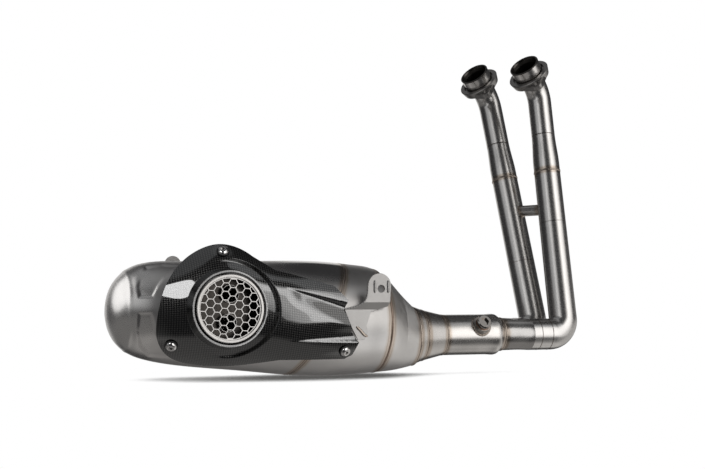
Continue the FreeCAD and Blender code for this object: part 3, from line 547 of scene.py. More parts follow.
def finish_node(name, paint, bevel=0.0, segments=2):
    """A CAD node that keeps its shape gets a material and softened edges."""
    node = NODES[name]
    node.data.materials.clear()
    node.data.materials.append(PAINTS[paint])
    for polygon in node.data.polygons:
        polygon.material_index = 0
    if bevel:
        weld = node.modifiers.new("joined", "WELD")
        weld.merge_threshold = 2e-6
        edge = node.modifiers.new("edges", "BEVEL")
        edge.width = bevel * MM
        edge.segments = segments
        edge.limit_method = "ANGLE"
        edge.angle_limit = math.radians(35)
        edge.harden_normals = True


# ---------------------------------------------------------------- headers

def line_of(name):
    """Centre and downward direction of a long turned node."""
    points = vertices(name)
    values, vectors = np.linalg.eigh(np.cov((points - points.mean(0)).T))
    axis = vectors[:, np.argmax(values)]
    return points.mean(0), axis if axis[2] < 0 else -axis


def meeting(first, ahead, second, other):
    """Where two lines pass closest, on the second one."""
    normal = np.cross(ahead, other)
    gap = second - first
    share = np.linalg.det([gap, ahead, normal]) / (normal @ normal)
    return second + other * share


# per side: corner of the neck bend, direction down the header, top and length of its lower pipe
LOWER_PIPE = {}
# height of the cross weld on each lower pipe above the collector's axis
CROSS_WELDS = {"right": 180.0, "left": 115.0}


def make_header(side):
    """One header from its collar to the collector, as five pipes on one route."""
    mount = MOUNTS["gas_inlet_" + side]
    mouth = local(mount["pos_m"])
    out = unit(mount["axis"])
    middle, down = line_of("header_lower_" + side)
    corner = meeting(mouth, -out, middle, down)
    foot = corner + down * (-corner[2] / down[2])
    sleeve_end, elbow_end = (vertices(name + side)[:, 0].min() for name in ("sleeve_", "elbow_"))
    upper = vertices("header_upper_" + side)
    start = ((upper - corner) @ out).max()
    route = Route([corner + out * start, corner, foot, (sleeve_end, foot[1], 0)], (38.0, 26.5))
    bend_end, elbow_start, elbow_stop = route.marks[1], route.marks[2], route.marks[3]
    bend_gone = bend_end - (route.at(bend_end)[0] - corner) @ down
    step = (vertices("header_step_" + side) - corner) @ down
    step_start, step_end = bend_gone + step.min(), bend_gone + step.max()
    elbow_tail = elbow_stop + (route.at(elbow_stop)[0][0] - elbow_end)

    def taper(far):
        return UPPER + (LOWER - UPPER) * float(smooth_step(0, 50, far - step_start))

    def lower(far):
        return LOWER + (FOOT - LOWER) * ratio(far, step_end, elbow_start)

    def grow(far):
        return FOOT + (SLEEVE - FOOT) * ratio(far, elbow_start, elbow_stop)

    for name, begin, end, radius, more in (
            ("header_upper", 0, step_start - 0.05, lambda far: UPPER, {}),
            ("header_step", step_start + 0.05, step_end, taper, {"welds": (step_end,)}),
            ("header_lower", step_end, elbow_start, lower, {"welds": (step_end,), "lip": 0}),
            ("elbow", elbow_start, elbow_tail, grow, {"pitch": 0.8, "lip": 0}),
            ("sleeve", elbow_tail, route.length, lambda far: SLEEVE, {"lip": 0})):
        pipe("%s_%s_tube" % (name, side), route, begin, end, radius,
             replaces=("%s_%s" % (name, side),), **more)
    middle = step_end + (route.at(step_end)[0][2] - CROSS_WELDS[side]) / -down[2]
    for name, far, radius, width, height in (
            ("step_top", step_start, UPPER, 0.4, 0.12), ("step_foot", step_end, LOWER, 1.7, 0.8),
            ("lower_middle", middle, lower(middle), 0.35, 0.08),
            ("elbow_foot", elbow_tail, SLEEVE, 0.6, 0.25),
            ("sleeve_foot", min(elbow_tail + 19, route.length - 2), SLEEVE, 0.6, 0.25)):
        centre, ahead = route.at(far)
        bold = height > 0.5
        ring_bead("weld_%s_%s" % (name, side), centre, ahead, radius, width, height,
                  paint="bead" if bold else "header", depth=0.28 if bold else 0.1)
    LOWER_PIPE[side] = (corner, down, route.at(step_end)[0], elbow_start - step_end)


def header_radius(side, spot):
    _, down, top, length = LOWER_PIPE[side]
    return LOWER + (FOOT - LOWER) * ratio((spot - top) @ down, 0, length)


def make_brace():
    """Crossover tube with a fillet weld at each header."""
    levels = vertices("crossover_tube")[:, 2]
    height = (levels.max() + levels.min()) / 2
    ends = {}
    for side in SIDES:
        corner, down, _, _ = LOWER_PIPE[side]
        ends[side] = corner + down * ((height - corner[2]) / down[2])
    bar = unit(ends["left"] - ends["right"])
    rim = circle(*basis(bar), 160)
    curves = {}
    for side, sense in (("right", 1), ("left", -1)):
        corner, down, _, _ = LOWER_PIPE[side]
        points = []
        for offset in rim * 9.0:
            far = 25.0
            for _ in range(12):
                spot = ends[side] + offset + bar * sense * far
                gap = spot - corner
                away = np.linalg.norm(gap - down * (gap @ down))
                far += header_radius(side, spot) - away
            points.append(ends[side] + offset + bar * sense * far)
        curves[side] = np.array(points)
        bead("weld_brace_" + side, curves[side], rim * 0.8 + bar * sense * 0.6, 1.7, 1.3,
             pitch=2.2)
    rings = [curves["right"] * (1 - s) + curves["left"] * s for s in np.linspace(0, 1, 24)]
    far = [min(np.linalg.norm(ring - curve, axis=1).min() for curve in curves.values())
           for ring in rings]
    piece("crossover_tube_skin", place(np.concatenate(rings)), grid(len(rings), len(rim)),
          "header", ("crossover_tube",), values=np.repeat(far, len(rim)) * MM)


# ---------------------------------------------------------------- muffler

# stations of the muffler's skin: X, middle Y, middle Z, half width, half height
BODY = np.array([
    (-698, 43, 38.5, 14, 12), (-694, 42, 38.8, 34, 29), (-685, 40, 39, 52, 46),
    (-668, 36, 39.5, 67, 61.5), (-640, 30, 39, 80, 71.5), (-580, 18, 35, 89, 77),
    (-510, 8, 32, 93, 80.5), (-440, 2, 29, 95, 85), (-370, 0, 26.5, 95, 85.5),
    (-335, 0, 25.5, 94, 83), (-305, 0, 23.5, 92.5, 79), (-272, 0, 11, 72, 64),
    (-238, 0, -1, 45.5, 45.5)], float)
# the same for the heat shield's outer face
COVER = np.array([
    (-655, 33, 40, 84, 78), (-610, 24, 43, 96, 90), (-575, 16, 48, 100, 101),
    (-545, 10, 50, 101.5, 106.4), (-500, 7, 44, 105, 98), (-440, 2, 34, 106, 98),
    (-380, 0, 28, 104.5, 95.5), (-330, 0, 27, 103, 93)], float)
# stamped panels, seen along Y: X and Z of their corners
PANELS = (
    [(-663, 59), (-645, 60), (-637, 75), (-628, 87), (-613, 99), (-600, 106), (-625, 108),
     (-648, 104), (-659, 92), (-664, 75)],
    [(-664, 38), (-647, 39), (-643, 24), (-639, 8), (-630, -12), (-615, -27), (-645, -25),
     (-659, -10), (-665, 12)],
)


def spline(knots, values, wanted):
    """Natural cubic through the knots."""
    count = len(knots)
    gaps = np.diff(knots)
    system, right = np.eye(count), np.zeros(count)
    for i in range(1, count - 1):
        system[i, i - 1:i + 2] = gaps[i - 1], 2 * (gaps[i - 1] + gaps[i]), gaps[i]
        right[i] = 6 * ((values[i + 1] - values[i]) / gaps[i]
                        - (values[i] - values[i - 1]) / gaps[i - 1])
    bend = np.linalg.solve(system, right)
    i = np.clip(np.searchsorted(knots, wanted) - 1, 0, count - 2)
    a, b = knots[i + 1] - wanted, wanted - knots[i]
    h = gaps[i]
    return (bend[i] * a ** 3 + bend[i + 1] * b ** 3) / (6 * h) \
        + (values[i] / h - bend[i] * h / 6) * a + (values[i + 1] / h - bend[i + 1] * h / 6) * b


# distance along the body, counted over X and half width, so that the dome stays round
BODY_KNOTS = np.concatenate([[0], np.cumsum(np.hypot(np.diff(BODY[:, 0]), np.diff(BODY[:, 3])))])


def sections(wanted):
    """Rows of X, middles and half axes at distances along the body."""
    return np.stack([spline(BODY_KNOTS, BODY[:, c], wanted) for c in range(5)], 1)


ALONG_BODY = np.linspace(0, BODY_KNOTS[-1], 4000)
FINE_BODY = sections(ALONG_BODY)


def section_at(x):
    """Middle Y, middle Z, half width and half height at X."""
    return [np.interp(x, FINE_BODY[:, 0], FINE_BODY[:, c]) for c in range(1, 5)]


def inside_distance(x, z, outline):
    """Distance of each point inside a closed outline from its edge, negative outside."""
    corners = np.array(outline, float)
    far = np.full(x.shape, 1e9)
    inside = np.zeros(x.shape, bool)
    for (x0, z0), (x1, z1) in zip(corners, np.roll(corners, -1, 0)):
        dx, dz = x1 - x0, z1 - z0
        share = np.clip(((x - x0) * dx + (z - z0) * dz) / (dx * dx + dz * dz), 0, 1)
        far = np.minimum(far, np.hypot(x - x0 - share * dx, z - z0 - share * dz))
        cross = ((z0 > z) != (z1 > z))
        level = np.where(cross, (z - z0) / (dz if dz else 1e-9), 0)
        inside ^= cross & (x < x0 + level * dx)
    return np.where(inside, far, -far)


def muffler_relief(x, z):
    """How far the skin stands out (mm): stamped panels and the cap's crease."""
    out = np.zeros(x.shape)
    for outline in PANELS:
        out -= 1.7 * smooth_step(-1.0, 3.4, inside_distance(x, z, outline))
    out += 0.7 * np.exp(-((x + 672.5) / 2.6) ** 2)
    return out


def muffler_skin(name, begin, end, replaces, hole=None):
    """Outer sheet between two X stations, with its relief."""
    pitch, columns = 1.4, 300
    first, last = (np.interp(x, FINE_BODY[:, 0], ALONG_BODY) for x in (begin, end))
    rows = int((last - first) / pitch) + 2
    sheet = sections(np.linspace(first, last, rows))
    turn = np.linspace(0, 2 * math.pi, columns, endpoint=False)
    cosine, sine = np.cos(turn)[None], np.sin(turn)[None]
    x, yc, zc, hw, hh = (sheet[:, c][:, None] for c in range(5))
    points = np.stack([np.broadcast_to(x, (rows, columns)), yc + hw * cosine, zc + hh * sine], 2)
    along = np.gradient(points, axis=0)
    around = (np.roll(points, -1, 1) - np.roll(points, 1, 1)) / 2
    normal = unit(np.cross(around, along))
    outward = points - np.concatenate([x, yc, zc], 1)[:, None]
    normal *= np.sign((normal * outward).sum(2, keepdims=True))
    relief = muffler_relief(points[..., 0], points[..., 2])
    points = points + normal * relief[..., None]
    drop = set()
    if hole:
        hx, hz, radius = hole
        rim = 1.6
        near = points[..., 1] < 0
        dx, dz = points[..., 0] - hx, points[..., 2] - hz
        away = np.hypot(dx, dz)
        scale = np.where(near & (np.abs(away - radius) < rim), radius / np.maximum(away, 1), 1)
        points[..., 0] = hx + dx * scale
        points[..., 2] = hz + dz * scale
        drop = set(np.flatnonzero((near & (away < radius + rim)).ravel()))
    faces = [f for f in grid(rows, columns) if not drop.issuperset(f)]
    flat = points.reshape(-1, 3)
    if begin == BODY[0, 0]:
        flat = np.vstack([flat, flat[:columns].mean(0) - (0.6, 0, 0)])
        faces += [(len(flat) - 1, (c + 1) % columns, c) for c in range(columns)]
    piece(name, place(flat), faces, "muffler", replaces)


def body_ring(seam, lean=0.0, steps=600):
    """Line round the muffler where X = seam + lean times Z, and the directions out from it."""
    turn = np.linspace(0, 2 * math.pi, steps, endpoint=False)
    x = np.full(steps, seam, float)
    for _ in range(20):
        yc, zc, hw, hh = section_at(x)
        z = zc + hh * np.sin(turn)
        x = seam + lean * z
    line = np.stack([x, yc + hw * np.cos(turn), z], 1)
    return line, unit(np.stack([0 * turn, np.cos(turn) / hw, np.sin(turn) / hh], 1))


# middle of the outlet ring, and Y of its face
OUTLET = local((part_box("outlet_ring")[0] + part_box("outlet_ring")[1]) / 2)
RING_FACE = box("outlet_ring")[0][1]


def make_muffler():
    """Four sheets, with a weld at each joint and one across the shell."""
    rear, cap = BODY[0, 0], -640
    muffler_skin("rear_cap_skin", rear, cap, ("muffler_rear_cap",))
    muffler_skin("main_shell_skin", cap, MAIN_WELD - 0.1, ("muffler_main_shell",),
                 hole=(OUTLET[0], OUTLET[2], 46.6))
    muffler_skin("front_shell_skin", MAIN_WELD + 0.1, -272, ("muffler_front_shell",))
    muffler_skin("front_cone_skin", -272, CONE_WELD, ("muffler_front_cone",))
    bead("weld_muffler_main", *body_ring(MAIN_WELD), 1.5, 0.6, "muffler_titanium",
         paint="dark_bead")
    bead("weld_muffler_cone", *body_ring(CONE_WELD - 0.2), 1.5, 0.7, "muffler_titanium")
    seam = SHELL_SEAM / MM - DATUM[0] + SHELL_LEAN * DATUM[2]
    bead("weld_muffler_shell", *body_ring(seam, SHELL_LEAN, 700), 1.1, 0.3, "muffler_titanium",
         depth=0.15)


# ---------------------------------------------------------------- collector and link pipe

def collector_ring(x, share, spread, tube, end):
    """Ring of the funnel: slot round two pipes where share is 0, circle where it is 1."""
    points = []
    for begin, stop, corner, turn in ((120, 60, 0, 90), (60, -60, 1, 90), (-60, -120, 0, -90),
                                      (-120, -240, -1, -90)):
        for step in np.linspace(0, 1, 60, endpoint=False):
            angle = math.radians(begin + (stop - begin) * step)
            if corner:
                lean = math.radians(turn - 180 * step)
                slot = (corner * spread + tube * math.cos(lean), tube * math.sin(lean))
            else:
                side = math.copysign(1, turn)
                slot = (side * spread * (2 * step - 1), side * tube)
            points.append((x, slot[0] * (1 - share) + end * math.cos(angle) * share,
                           slot[1] * (1 - share) + end * math.sin(angle) * share))
    return np.array(points)


def make_collector():
    """Funnel from the two sleeves to the link pipe, with its plate between the sleeves."""
    rear, front = (corner[0] for corner in box("collector"))
    spread, tube, end = 25.0, SLEEVE, 26.0
    rings = []
    for thin, shares in ((0.0, np.linspace(0, 1, 25)), (WALL, np.linspace(1, 0, 25))):
        for share in shares:
            soft = 0.6 * share + 0.4 * float(smooth_step(0, 1, share))
            rings.append(collector_ring(front + (rear - front) * share, soft, spread,
                                        tube - thin, end - thin))
    rings.append(rings[0])
    piece("collector_formed", place(np.concatenate(rings)), grid(len(rings), len(rings[0])),
          "link", ("collector",), sharp=50)
    for name, side in (("upper", 1), ("lower", -1)):
        rows = []
        for y in np.linspace(-spread, spread, 41):
            foot = math.sqrt(max(tube ** 2 - (spread - abs(y)) ** 2, 0)) - 0.6
            rows.append([(front, y, side * tube), (front, y, side * foot),
                         (front - WALL, y, side * foot), (front - WALL, y, side * tube)])
        rows = np.array(rows)
        piece("collector_plate_" + name, place(rows.reshape(-1, 3)),
              grid(len(rows), 4, flip=side < 0), "link", sharp=30)


def make_link():
    """Link pipe with its swaged shoulder, and the welds from the collector to the muffler."""
    make_collector()
    finish_node("inlet_cone", "link")
    rear, front = (corner[0] for corner in box("link_pipe"))
    length = front - rear
    outline = [(26.2, 0.2), (26.7, 2.0), (27.0, 4.0), (28.2, 6.2), (30.4, 8.8), (31.9, 11.2),
               (32.5, 14.0), (32.5, 17.5), (32.1, 22.0), (31.8, 27.0), (LINK, 34.0)]
    outline += [(LINK, h) for h in np.linspace(38, length - 1.2, 30)] + [(31.3, length - 0.1)]
    inner = [(r - WALL, h) for r, h in reversed(outline)]
    lathe("link_pipe_spun", place((front, 0, 0)), (-1, 0, 0), outline + inner,
          "link", ("link_pipe",), sharp=50)
    cone = box("inlet_cone")[1][0]
    for name, x, radius, width, height in (
            ("weld_link", front, 26.1, 1.6, 0.9), ("weld_link_second", front - 5.0, 27.0, 1.0, 0.4),
            ("weld_cone", cone, LINK - 0.05, 1.3, 0.6), ("weld_waist", WAIST, 40.0, 1.2, 0.5)):
        ring_bead(name, (x, 0, 0), (1, 0, 0), radius, width, height)


# ---------------------------------------------------------------- outlet

def make_outlet():
    """Ring, screen and cup, the tail tubes in it, and what the muffler holds."""
    face = place((OUTLET[0], RING_FACE, OUTLET[2]))
    lathe("outlet_ring_turned", face, (0, 1, 0), rounded([
        (43.2, 8.0), (43.2, 0.0), (47.5, 0.0), (47.5, 8.0)], 1.0, 6),
        "ring", ("outlet_ring",), steps=192)
    finish_node("outlet_mesh", "mesh", bevel=0.25)
    # painted shade: the cup's steel is painted near black
    finish_node("outlet_cup", "inner")
    for level in ("upper", "lower"):
        low, high = box("tail_tube_" + level)
        middle, length = (low + high) / 2, high[1] - low[1]
        middle[1] = low[1]
        lathe("tail_tube_%s_rolled" % level, place(middle), (0, 1, 0), rounded([
            (11.8, length), (11.8, 0.0), (13.0, 0.0), (13.0, length)], 0.5),
            "ring", ("tail_tube_" + level,))
    # painted shade: the muffler's inner parts are painted near black
    for name in ("core_tube", "front_baffle", "rear_baffle"):
        finish_node(name, "inner")
    finish_node("packing", "fibre")


# ---------------------------------------------------------------- heat shield

SHIELD_SOLID = NODES["carbon_shield"].data
SHIELD_TREE = BVHTree.FromPolygons([v.co for v in SHIELD_SOLID.vertices],
                                   [tuple(p.vertices) for p in SHIELD_SOLID.polygons])
# X and Z of the arm's corners
ARM_CORNERS = [(-377, -29), (-366, -23), (-359, -5), (-370, 10), (-381, 43), (-376, 56)]


def shield_reach(angle):
    """Distance from the outlet's middle to the shield's edge, in one direction."""
    def hits(far):
        spot = place((OUTLET[0] + math.cos(angle) * far, -160.0,
                      OUTLET[2] + math.sin(angle) * far))
        return SHIELD_TREE.ray_cast(Vector(spot), Vector((0, 1, 0)))[0] is not None

    reach = 52.0
    while reach < 260 and (hits(reach) or hits(reach + 9)):
        reach += 3.0
    low, high = reach - 12, reach + 3
    for _ in range(14):
        middle = (low + high) / 2
        if hits(middle):
            low = middle
        else:
            high = middle
    return low


def cover_face(x, z):
    """Y of the shield's plain outer face, and the height on it as a share of the half height."""
    order = COVER[:, 0]
    wanted = np.clip(x, order[0], order[-1])
    yc, zc, hw, hh = (spline(order, COVER[:, c], wanted) for c in range(1, 5))
    level = (z - zc) / hh
    return yc - hw * np.sqrt(np.clip(1 - level ** 2, 0.02, 1)), level


def line_z(x, start, end):
    """Z on a line seen along Y, and how far along it x is."""
    share = (x - start[0]) / (end[0] - start[0])
    return start[1] + (end[1] - start[1]) * share, share


def soft_min(first, second, width):
    gap = np.clip(0.5 + 0.5 * (second - first) / width, 0, 1)
    return second * (1 - gap) + first * gap - width * gap * (1 - gap)


def wall(share, round_foot, round_top):
    """Height of a sloping wall (0 to 1) with rounded foot and top."""
    share = np.clip(share, 0, 1)
    steep = 1 / (1 - (round_foot + round_top) / 2)
    low = steep * share ** 2 / (2 * round_foot)
    high = 1 - steep * (1 - share) ** 2 / (2 * round_top)
    middle = steep * (share - round_foot / 2)
    return np.where(share < round_foot, low, np.where(share > 1 - round_top, high, middle))


def shield_relief(x, z):
    """How far the laminate stands out (mm): the arm's panel lies between two creased walls."""
    crest, share = line_z(x, (-478, 77), (-381, 56))
    foot, _ = line_z(x, (-458, 69.0), (-381, 43.5))
    width = np.maximum(crest - foot, 0.8)
    live = smooth_step(0.10, 0.35, share)
    deep = 0.56 * width * live
    up = wall((z - foot) / width, 0.30, 0.34)
    ease = smooth_step(0, 26, foot - z)
    out = -deep * (1 - up) * (1 - ease)
    ledge, share = line_z(x, (-466, -1.0), (-364, 5.0))
    brow, _ = line_z(x, (-466, -2.2), (-359, -4.5))
    width = np.maximum(ledge - brow, 0.8)
    live = smooth_step(0.0, 0.4, share)
    deep = 0.66 * width * live
    down = np.clip((ledge - z) / width, 0, 1) ** 1.8
    ease = smooth_step(0, 24, z - ledge)
    return out - deep * (1 - down) * (1 - ease)


def shield_face(x, z):
    """Y of the shield's finished outer face, with its collar and the groove round it."""
    base, level = cover_face(x, z)
    away = np.hypot(x - OUTLET[0], z - OUTLET[2])
    groove = 6.5 * (1 - smooth_step(65.5, 71.5, away)) * smooth_step(-575, -520, x)
    near = smooth_step(70, 80, away)
    base = base - shield_relief(x, z) * near + groove
    collar = RING_FACE + 1.0 + np.maximum(away - 53.0, 0) * 7.0 \
        + 0.9 * np.clip((50.9 - away) / 1.5, 0, 1) ** 2
    mean_height = 98
    return soft_min(base, collar, 1.6), mean_height * np.arcsin(np.clip(level, -1, 1))


def make_shield():
    """Carbon laminate over the outline of its solid, and its screws, washers and bosses."""
    angles = list(np.linspace(0, 2 * math.pi, 540, endpoint=False))
    for x, z in ARM_CORNERS:
        angles.append(math.atan2(z - OUTLET[2], x - OUTLET[0]) % (2 * math.pi))
    angles = np.array(sorted(angles))
    reach = np.array([shield_reach(a) for a in angles])
    hole, thick, rim = 49.4, 1.9, 0.45
    share = np.linspace(0, 1, 150) ** 1.25
    radii = hole + (reach[None] - hole) * share[:, None]
    x = OUTLET[0] + radii * np.cos(angles)[None]
    z = OUTLET[2] + radii * np.sin(angles)[None]
    y, arc = shield_face(x, z)
    outer = np.stack([x, y, z], 2)
    normal = unit(np.cross(np.roll(outer, -1, 1) - np.roll(outer, 1, 1), np.gradient(outer, axis=0)))
    normal *= -np.sign(normal[..., 1:2])
    inside = outer - normal * thick
    # one ring just inside each border rounds the edges
    lip_in, lip_out = outer[0] - normal[0] * rim, outer[-1] - normal[-1] * rim
    rings = [lip_in, *outer, lip_out, *inside[::-1], lip_in]
    uv = np.stack([x, arc], 2)
    uvs = np.concatenate([uv[0], *uv, uv[-1], *uv[::-1], uv[0]])
    piece("carbon_shield_laid", place(np.concatenate(rings)),
          grid(len(rings), len(angles), flip=True), "carbon", ("carbon_shield",),
          uvs=uvs, sharp=70)
    finish_node("shield_screws", "screw", bevel=0.25)
    finish_node("shield_bosses", "muffler", bevel=0.3)
    finish_node("shield_washers", "rubber", bevel=0.3)


# ---------------------------------------------------------------- small parts

def make_ports():
    """Sealing collar with its rim and bore painted near black as painted shade of the mouth, and the
    loose flange.
    """
    for side in SIDES:
        axis = unit(MOUNTS["spigot_" + side]["axis"])
        gas = local(MOUNTS["gas_inlet_" + side]["pos_m"])
        mouth = place(gas + axis * ((vertices("spigot_" + side) - gas) @ axis).max())
        for name, paint, outline, replaces in (
                ("turned", "collar", rounded([
                    (24.25, -20.7), (24.25, 0.0), (21.7, 0.0), (20.6, -3.0), (20.6, -20.7)],
                    0.9, 5), ("spigot_" + side,)),
                # rim and bore: painted shade of the mouth, painted near black
                ("rim", "rim", rounded([
                    (24.5, -1.3), (24.5, 0.3), (21.6, 0.3), (20.4, -3.2), (20.2, -3.2),
                    (21.4, -1.3)], 0.5), ()),
                ("bore", "bore_shade", rounded([
                    (21.0, -2.9), (18.4, -7.5), (18.0, -21.0), (17.4, -21.0), (17.8, -7.0),
                    (20.3, -2.9)], 0.3, 3), ())):
            lathe("spigot_%s_%s" % (side, name), mouth, axis, outline, paint,
                  replaces, steps=160)
        finish_node("port_flange_" + side, "flange", bevel=1.3, segments=4)


def make_bung():
    """Sensor boss, its weld on the link pipe, and the plug and washer in it."""
    station = sum(corner[0] for corner in box("lambda_bung")) / 2
    rise = math.radians(28)
    out = np.array((0, -math.cos(rise), math.sin(rise)))
    base = np.array((station, 0, 0))
    lathe("lambda_bung_turned", place(base), out, rounded([
        (9.0, 29.5), (14.6, 29.5), (14.6, 33.5), (13.4, 35.0), (13.4, 39.5), (9.0, 39.5)], 0.7),
        "bung", ("lambda_bung",))
    along = np.array((1.0, 0, 0))
    up = np.cross(out, along)
    rim = circle(along, up, 300)
    foot = 15.0
    level = np.sqrt(LINK ** 2 - (rim @ up * foot) ** 2)
    line = base + rim * foot + out * level[:, None]
    bead("weld_bung", line, rim * 0.7 + out * 0.7, 2.0, 1.5, pitch=2.4)
    finish_node("lambda_plug", "plug", bevel=0.7, segments=3)
    finish_node("lambda_washer", "copper", bevel=0.2)


def make_bracket():
    """Frame bracket: stamped ribs beside the hole, and the welds that hold it."""
    finish_node("frame_bracket", "bracket", bevel=0.5)
    face = box("frame_bracket")[0][1]
    across, along = np.linspace(-1, 1, 17), np.linspace(-1, 1, 41)
    for name, x in (("rear", -337.5), ("front", -316.9)):
        rows = []
        for share in along:
            taper = math.sqrt(max(1 - share ** 6, 0))
            level = np.sqrt(np.clip(1 - across ** 2, 0, 1)) * 1.9 * taper
            rows.append(np.stack([x + across * 2.1 * max(taper, 0.1), face + 0.2 - level,
                                  75 + 0 * across + share * 9.3], 1))
        piece("bracket_rib_" + name, place(np.concatenate(rows)),
              grid(len(along), len(across), around=False), "bracket")
    tab, skirt = face + 1.2, face + 7.4
    edge = resample([(-346.0, tab, 84), (-347.6, tab, 76), (-348.2, tab, 64), (-351.5, tab, 55.5),
                     (-361, tab + 2.6, 48), (-372, tab + 4.6, 44.6), (-381, skirt - 0.6, 42.8)])
    bead("weld_bracket_edge", edge, (-0.45, -0.8, 0.35), 1.5, 1.7, "muffler_titanium",
         pitch=4.0, depth=0.45, closed=False, paint="bracket")
    foot = resample([(-364, skirt - 1.1, 18), (-357, skirt - 1.2, 12), (-350, skirt - 0.9, 5),
                     (-345, skirt + 0.4, 3.5)])
    bead("weld_bracket_foot", foot, (0, -1, 0), 2.4, 1.2, "muffler_titanium", pitch=2.6,
         closed=False)


# ---------------------------------------------------------------- stage, lights and camera

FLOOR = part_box("muffler_main_shell")[0].z - 0.001


def make_floor():
    """Plain white floor that only the camera sees: it glows white, with a painted contact shadow,
    grey where the object stands close above.
    """
    size = 30.0
    mesh = bpy.data.meshes.new("floor")
    mesh.from_pydata([(-size, -size, FLOOR), (size, -size, FLOOR), (size, size, FLOOR),
                      (-size, size, FLOOR)], [], [(0, 1, 2, 3)])
    floor = bpy.data.objects.new("floor", mesh)
    bpy.context.collection.objects.link(floor)
    material = bpy.data.materials.new("floor_white_painted_shadow")
    material.use_nodes = True
    ground = Nodes(material.node_tree)
    ground.tree.nodes.clear()
    # painted contact shadow: the floor's glow is painted dark grey where ambient occlusion finds the
    # object close above
    shade = ground.node("AmbientOcclusion", {"Distance": 0.042}, samples=8).outputs["AO"]
    tone = ground.ramp(shade, [(0.14, (0.10, 0.098, 0.095)), (0.66, (1.0, 1.0, 1.0))])
    glow = ground.node("Emission", {"Color": tone}).outputs[0]
    ground.node("OutputMaterial", {"Surface": glow})
    mesh.materials.append(material)
    floor.visible_diffuse = floor.visible_glossy = False
    floor.visible_transmission = floor.visible_shadow = False


AMBIENT = (0.045, 0.045, 0.047)
# soft boxes of the studio, by direction: turn from -Y towards +X, rise from the horizon, soft
# edge (all in degrees), glow and colour
STUDIO = [
    ((4, 62), (-17, 44), 7, 1.05, (1, 0.985, 0.965)),
    ((12, 27), (-14, 42), 6, 0.7, (1, 0.99, 0.975)),
    ((-92, -54), (6, 34), 14, 0.60, (0.97, 0.985, 1)),
    ((64, 128), (-62, 4), 14, 0.60, (1, 0.98, 0.95)),
    ((150, 222), (-16, 26), 10, 0.75, (1, 0.99, 0.97)),
    ((-222, -162), (-16, 26), 10, 0.75, (1, 0.99, 0.97)),
    ((26, 66), (44, 62), 6, 0.5, (0.96, 0.98, 1)),
    ((-170, -60), (45, 80), 12, 0.26, (0.96, 0.98, 1)),
    ((38, 66), (-66, -18), 10, 0.30, (1, 0.98, 0.95)),
    ((-400, 400), (-130, -50), 12, 0.24, (1, 0.97, 0.94)),
    ((-400, 400), (78, 130), 12, 0.30, (0.97, 0.985, 1)),
    ((-160, -46), (-60, -8), 14, 0.16, (1, 0.98, 0.95)),
]


def make_world():
    """White for the camera; for the object, soft boxes painted by direction."""
    world = bpy.data.worlds.new("studio")
    bpy.context.scene.world = world
    world.use_nodes = True
    sky = Nodes(world.node_tree)
    sky.tree.nodes.clear()
    way = sky.node("TexCoord").outputs["Generated"]
    parts = sky.node("SeparateXYZ", {0: way}).outputs
    turn = sky.math("DEGREES", sky.math("ARCTAN2", parts["X"], sky.product(parts["Y"], -1.0)))
    rise = sky.math("DEGREES", sky.math("ARCSINE", parts["Z"]))
    total = AMBIENT
    for turns, rises, soft, glow, colour in STUDIO:
        shares = []
        for value, (low, high) in ((turn, turns), (rise, rises)):
            for edge, side in ((low, 1), (high, -1)):
                shares.append(sky.remap(value, edge - side * soft / 2, edge + side * soft / 2,
                                        interpolation_type="SMOOTHSTEP"))
        box = sky.node("VectorMath", {0: tuple(glow * c for c in colour),
                                      "Scale": sky.product(*shares)}, operation="SCALE")
        total = sky.node("VectorMath", {0: total, 1: box.outputs[0]}, operation="ADD").outputs[0]
    studio = sky.node("Background", {"Color": total}).outputs[0]
    white = sky.node("Background", {"Color": (1, 1, 1, 1)}).outputs[0]
    seen = sky.node("LightPath").outputs["Is Camera Ray"]
    mix = sky.node("MixShader", {0: seen, 1: studio, 2: white}).outputs[0]
    sky.node("OutputWorld", {"Surface": mix})


def softbox(name, aim, turn, rise, wide, high, glow, only, far=2.4, tilt=0.0,
            shape="ELLIPSE"):
    """Soft lamp that lights only the named objects.

    From aim (row frame, m) it stands far metres away towards turn and rise, and covers wide by
    high degrees, tilted about its middle.
    """
    data = bpy.data.lights.new(name, "AREA")
    data.shape = shape
    data.size = 2 * far * math.tan(math.radians(wide / 2))
    data.size_y = 2 * far * math.tan(math.radians(high / 2))
    area = data.size * data.size_y * (math.pi / 4 if shape == "ELLIPSE" else 1)
    data.energy = glow * math.pi * area
    turn, rise = math.radians(turn), math.radians(rise)
    away = Vector((math.sin(turn) * math.cos(rise), -math.cos(turn) * math.cos(rise),
                   math.sin(rise)))
    lamp = bpy.data.objects.new(name, data)
    lamp.location = Vector(aim) + away * far
    facing = away.to_track_quat("Z", "Y").to_matrix()
    lamp.rotation_euler = (facing @ Matrix.Rotation(math.radians(tilt), 3, "Z")).to_euler()
    lamp.visible_camera = False
    bpy.context.collection.objects.link(lamp)
    lit = bpy.data.collections.new("lit_by_" + name)
    for each in only:
        lit.objects.link(bpy.data.objects[each])
    lamp.light_linking.receiver_collection = lit


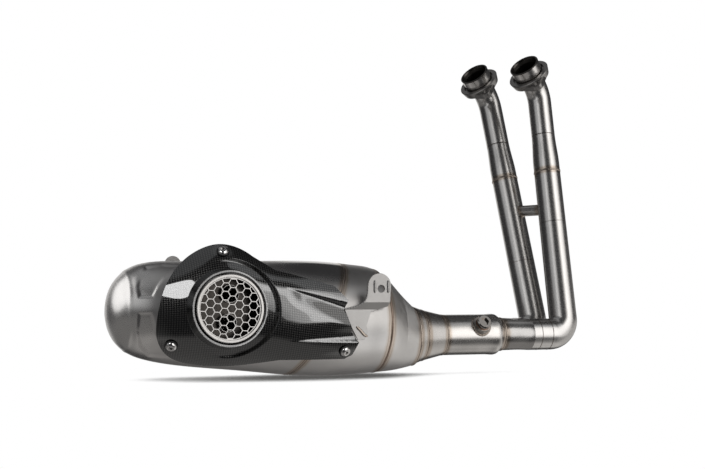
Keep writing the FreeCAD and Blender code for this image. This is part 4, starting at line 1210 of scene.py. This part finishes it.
def make_lights():
    """Soft lamps, each for the pieces whose highlights it gives."""
    shield = ("carbon_shield_laid", "shield_screws", "shield_washers")
    pipes = [o.name for o in bpy.data.objects
             if o.name.endswith("_tube") or o.name.startswith(("spigot_", "port_flange_"))]
    link = ("link_pipe_spun", "inlet_cone", "collector_formed", "weld_link")
    cones = ("inlet_cone", "front_cone_skin")
    softbox("laminate_left", (-0.27, 0.0, 0.0), -43, 33, 12, 32, 6.0, shield, tilt=26)
    softbox("laminate_arm", (-0.09, 0.0, 0.0), 17, 15, 34, 62, 0.9, shield, shape="RECTANGLE")
    softbox("laminate_bend", (-0.09, 0.0, 0.0), 21, 16, 20, 54, 1.0, shield, shape="RECTANGLE")
    softbox("cap_left", (-0.34, 0.06, 0.0), -120, 22, 56, 50, 1.6,
            ("rear_cap_skin", "main_shell_skin"), far=0.7)
    softbox("collector_left", (0.26, 0.06, -0.07), -37, 14, 46, 56, 1.5, ("collector_formed",))
    softbox("cone_left", (0.1, 0.06, -0.07), -34, 10, 44, 66, 0.6, cones)
    softbox("shell_low", (0.05, 0.0, -0.1), 42, -38, 50, 50, 0.9,
            ("main_shell_skin", "front_shell_skin", "front_cone_skin"))
    softbox("shell_top", (0.02, 0.1, 0.03), 124, 54, 96, 46, 0.24, ("front_shell_skin",))
    softbox("cone_right", (0.1, 0.1, -0.03), 92, 14, 66, 56, 0.5, cones)
    softbox("pipe_key", (0.32, 0.1, 0.2), 34, 16, 28, 64, 0.8, pipes)
    softbox("pipe_rim", (0.32, 0.1, 0.2), -52, 16, 22, 50, 0.8, pipes)
    softbox("link_key", (0.24, 0.05, -0.07), 22, 14, 26, 54, 0.7, link)


def make_camera():
    """Level camera turned 20 degrees to the object, raised by its shift."""
    data = bpy.data.cameras.new("camera")
    data.sensor_width, data.lens = 36.0, 56.834
    data.shift_y = 0.08156
    data.clip_end = 100
    camera = bpy.data.objects.new("camera", data)
    camera.location = (-0.5856, -1.4892, -0.0047)
    camera.rotation_euler = (math.radians(90), 0, math.radians(-20))
    bpy.context.collection.objects.link(camera)
    bpy.context.scene.camera = camera
    bpy.context.scene.view_settings.view_transform = "Standard"


for header_side in SIDES:
    make_header(header_side)
make_brace()
make_link()
make_muffler()
make_outlet()
make_shield()
make_ports()
make_bung()
make_bracket()
finish_node("rear_hanger", "bracket", bevel=0.5)
make_floor()
make_world()
make_lights()
make_camera()
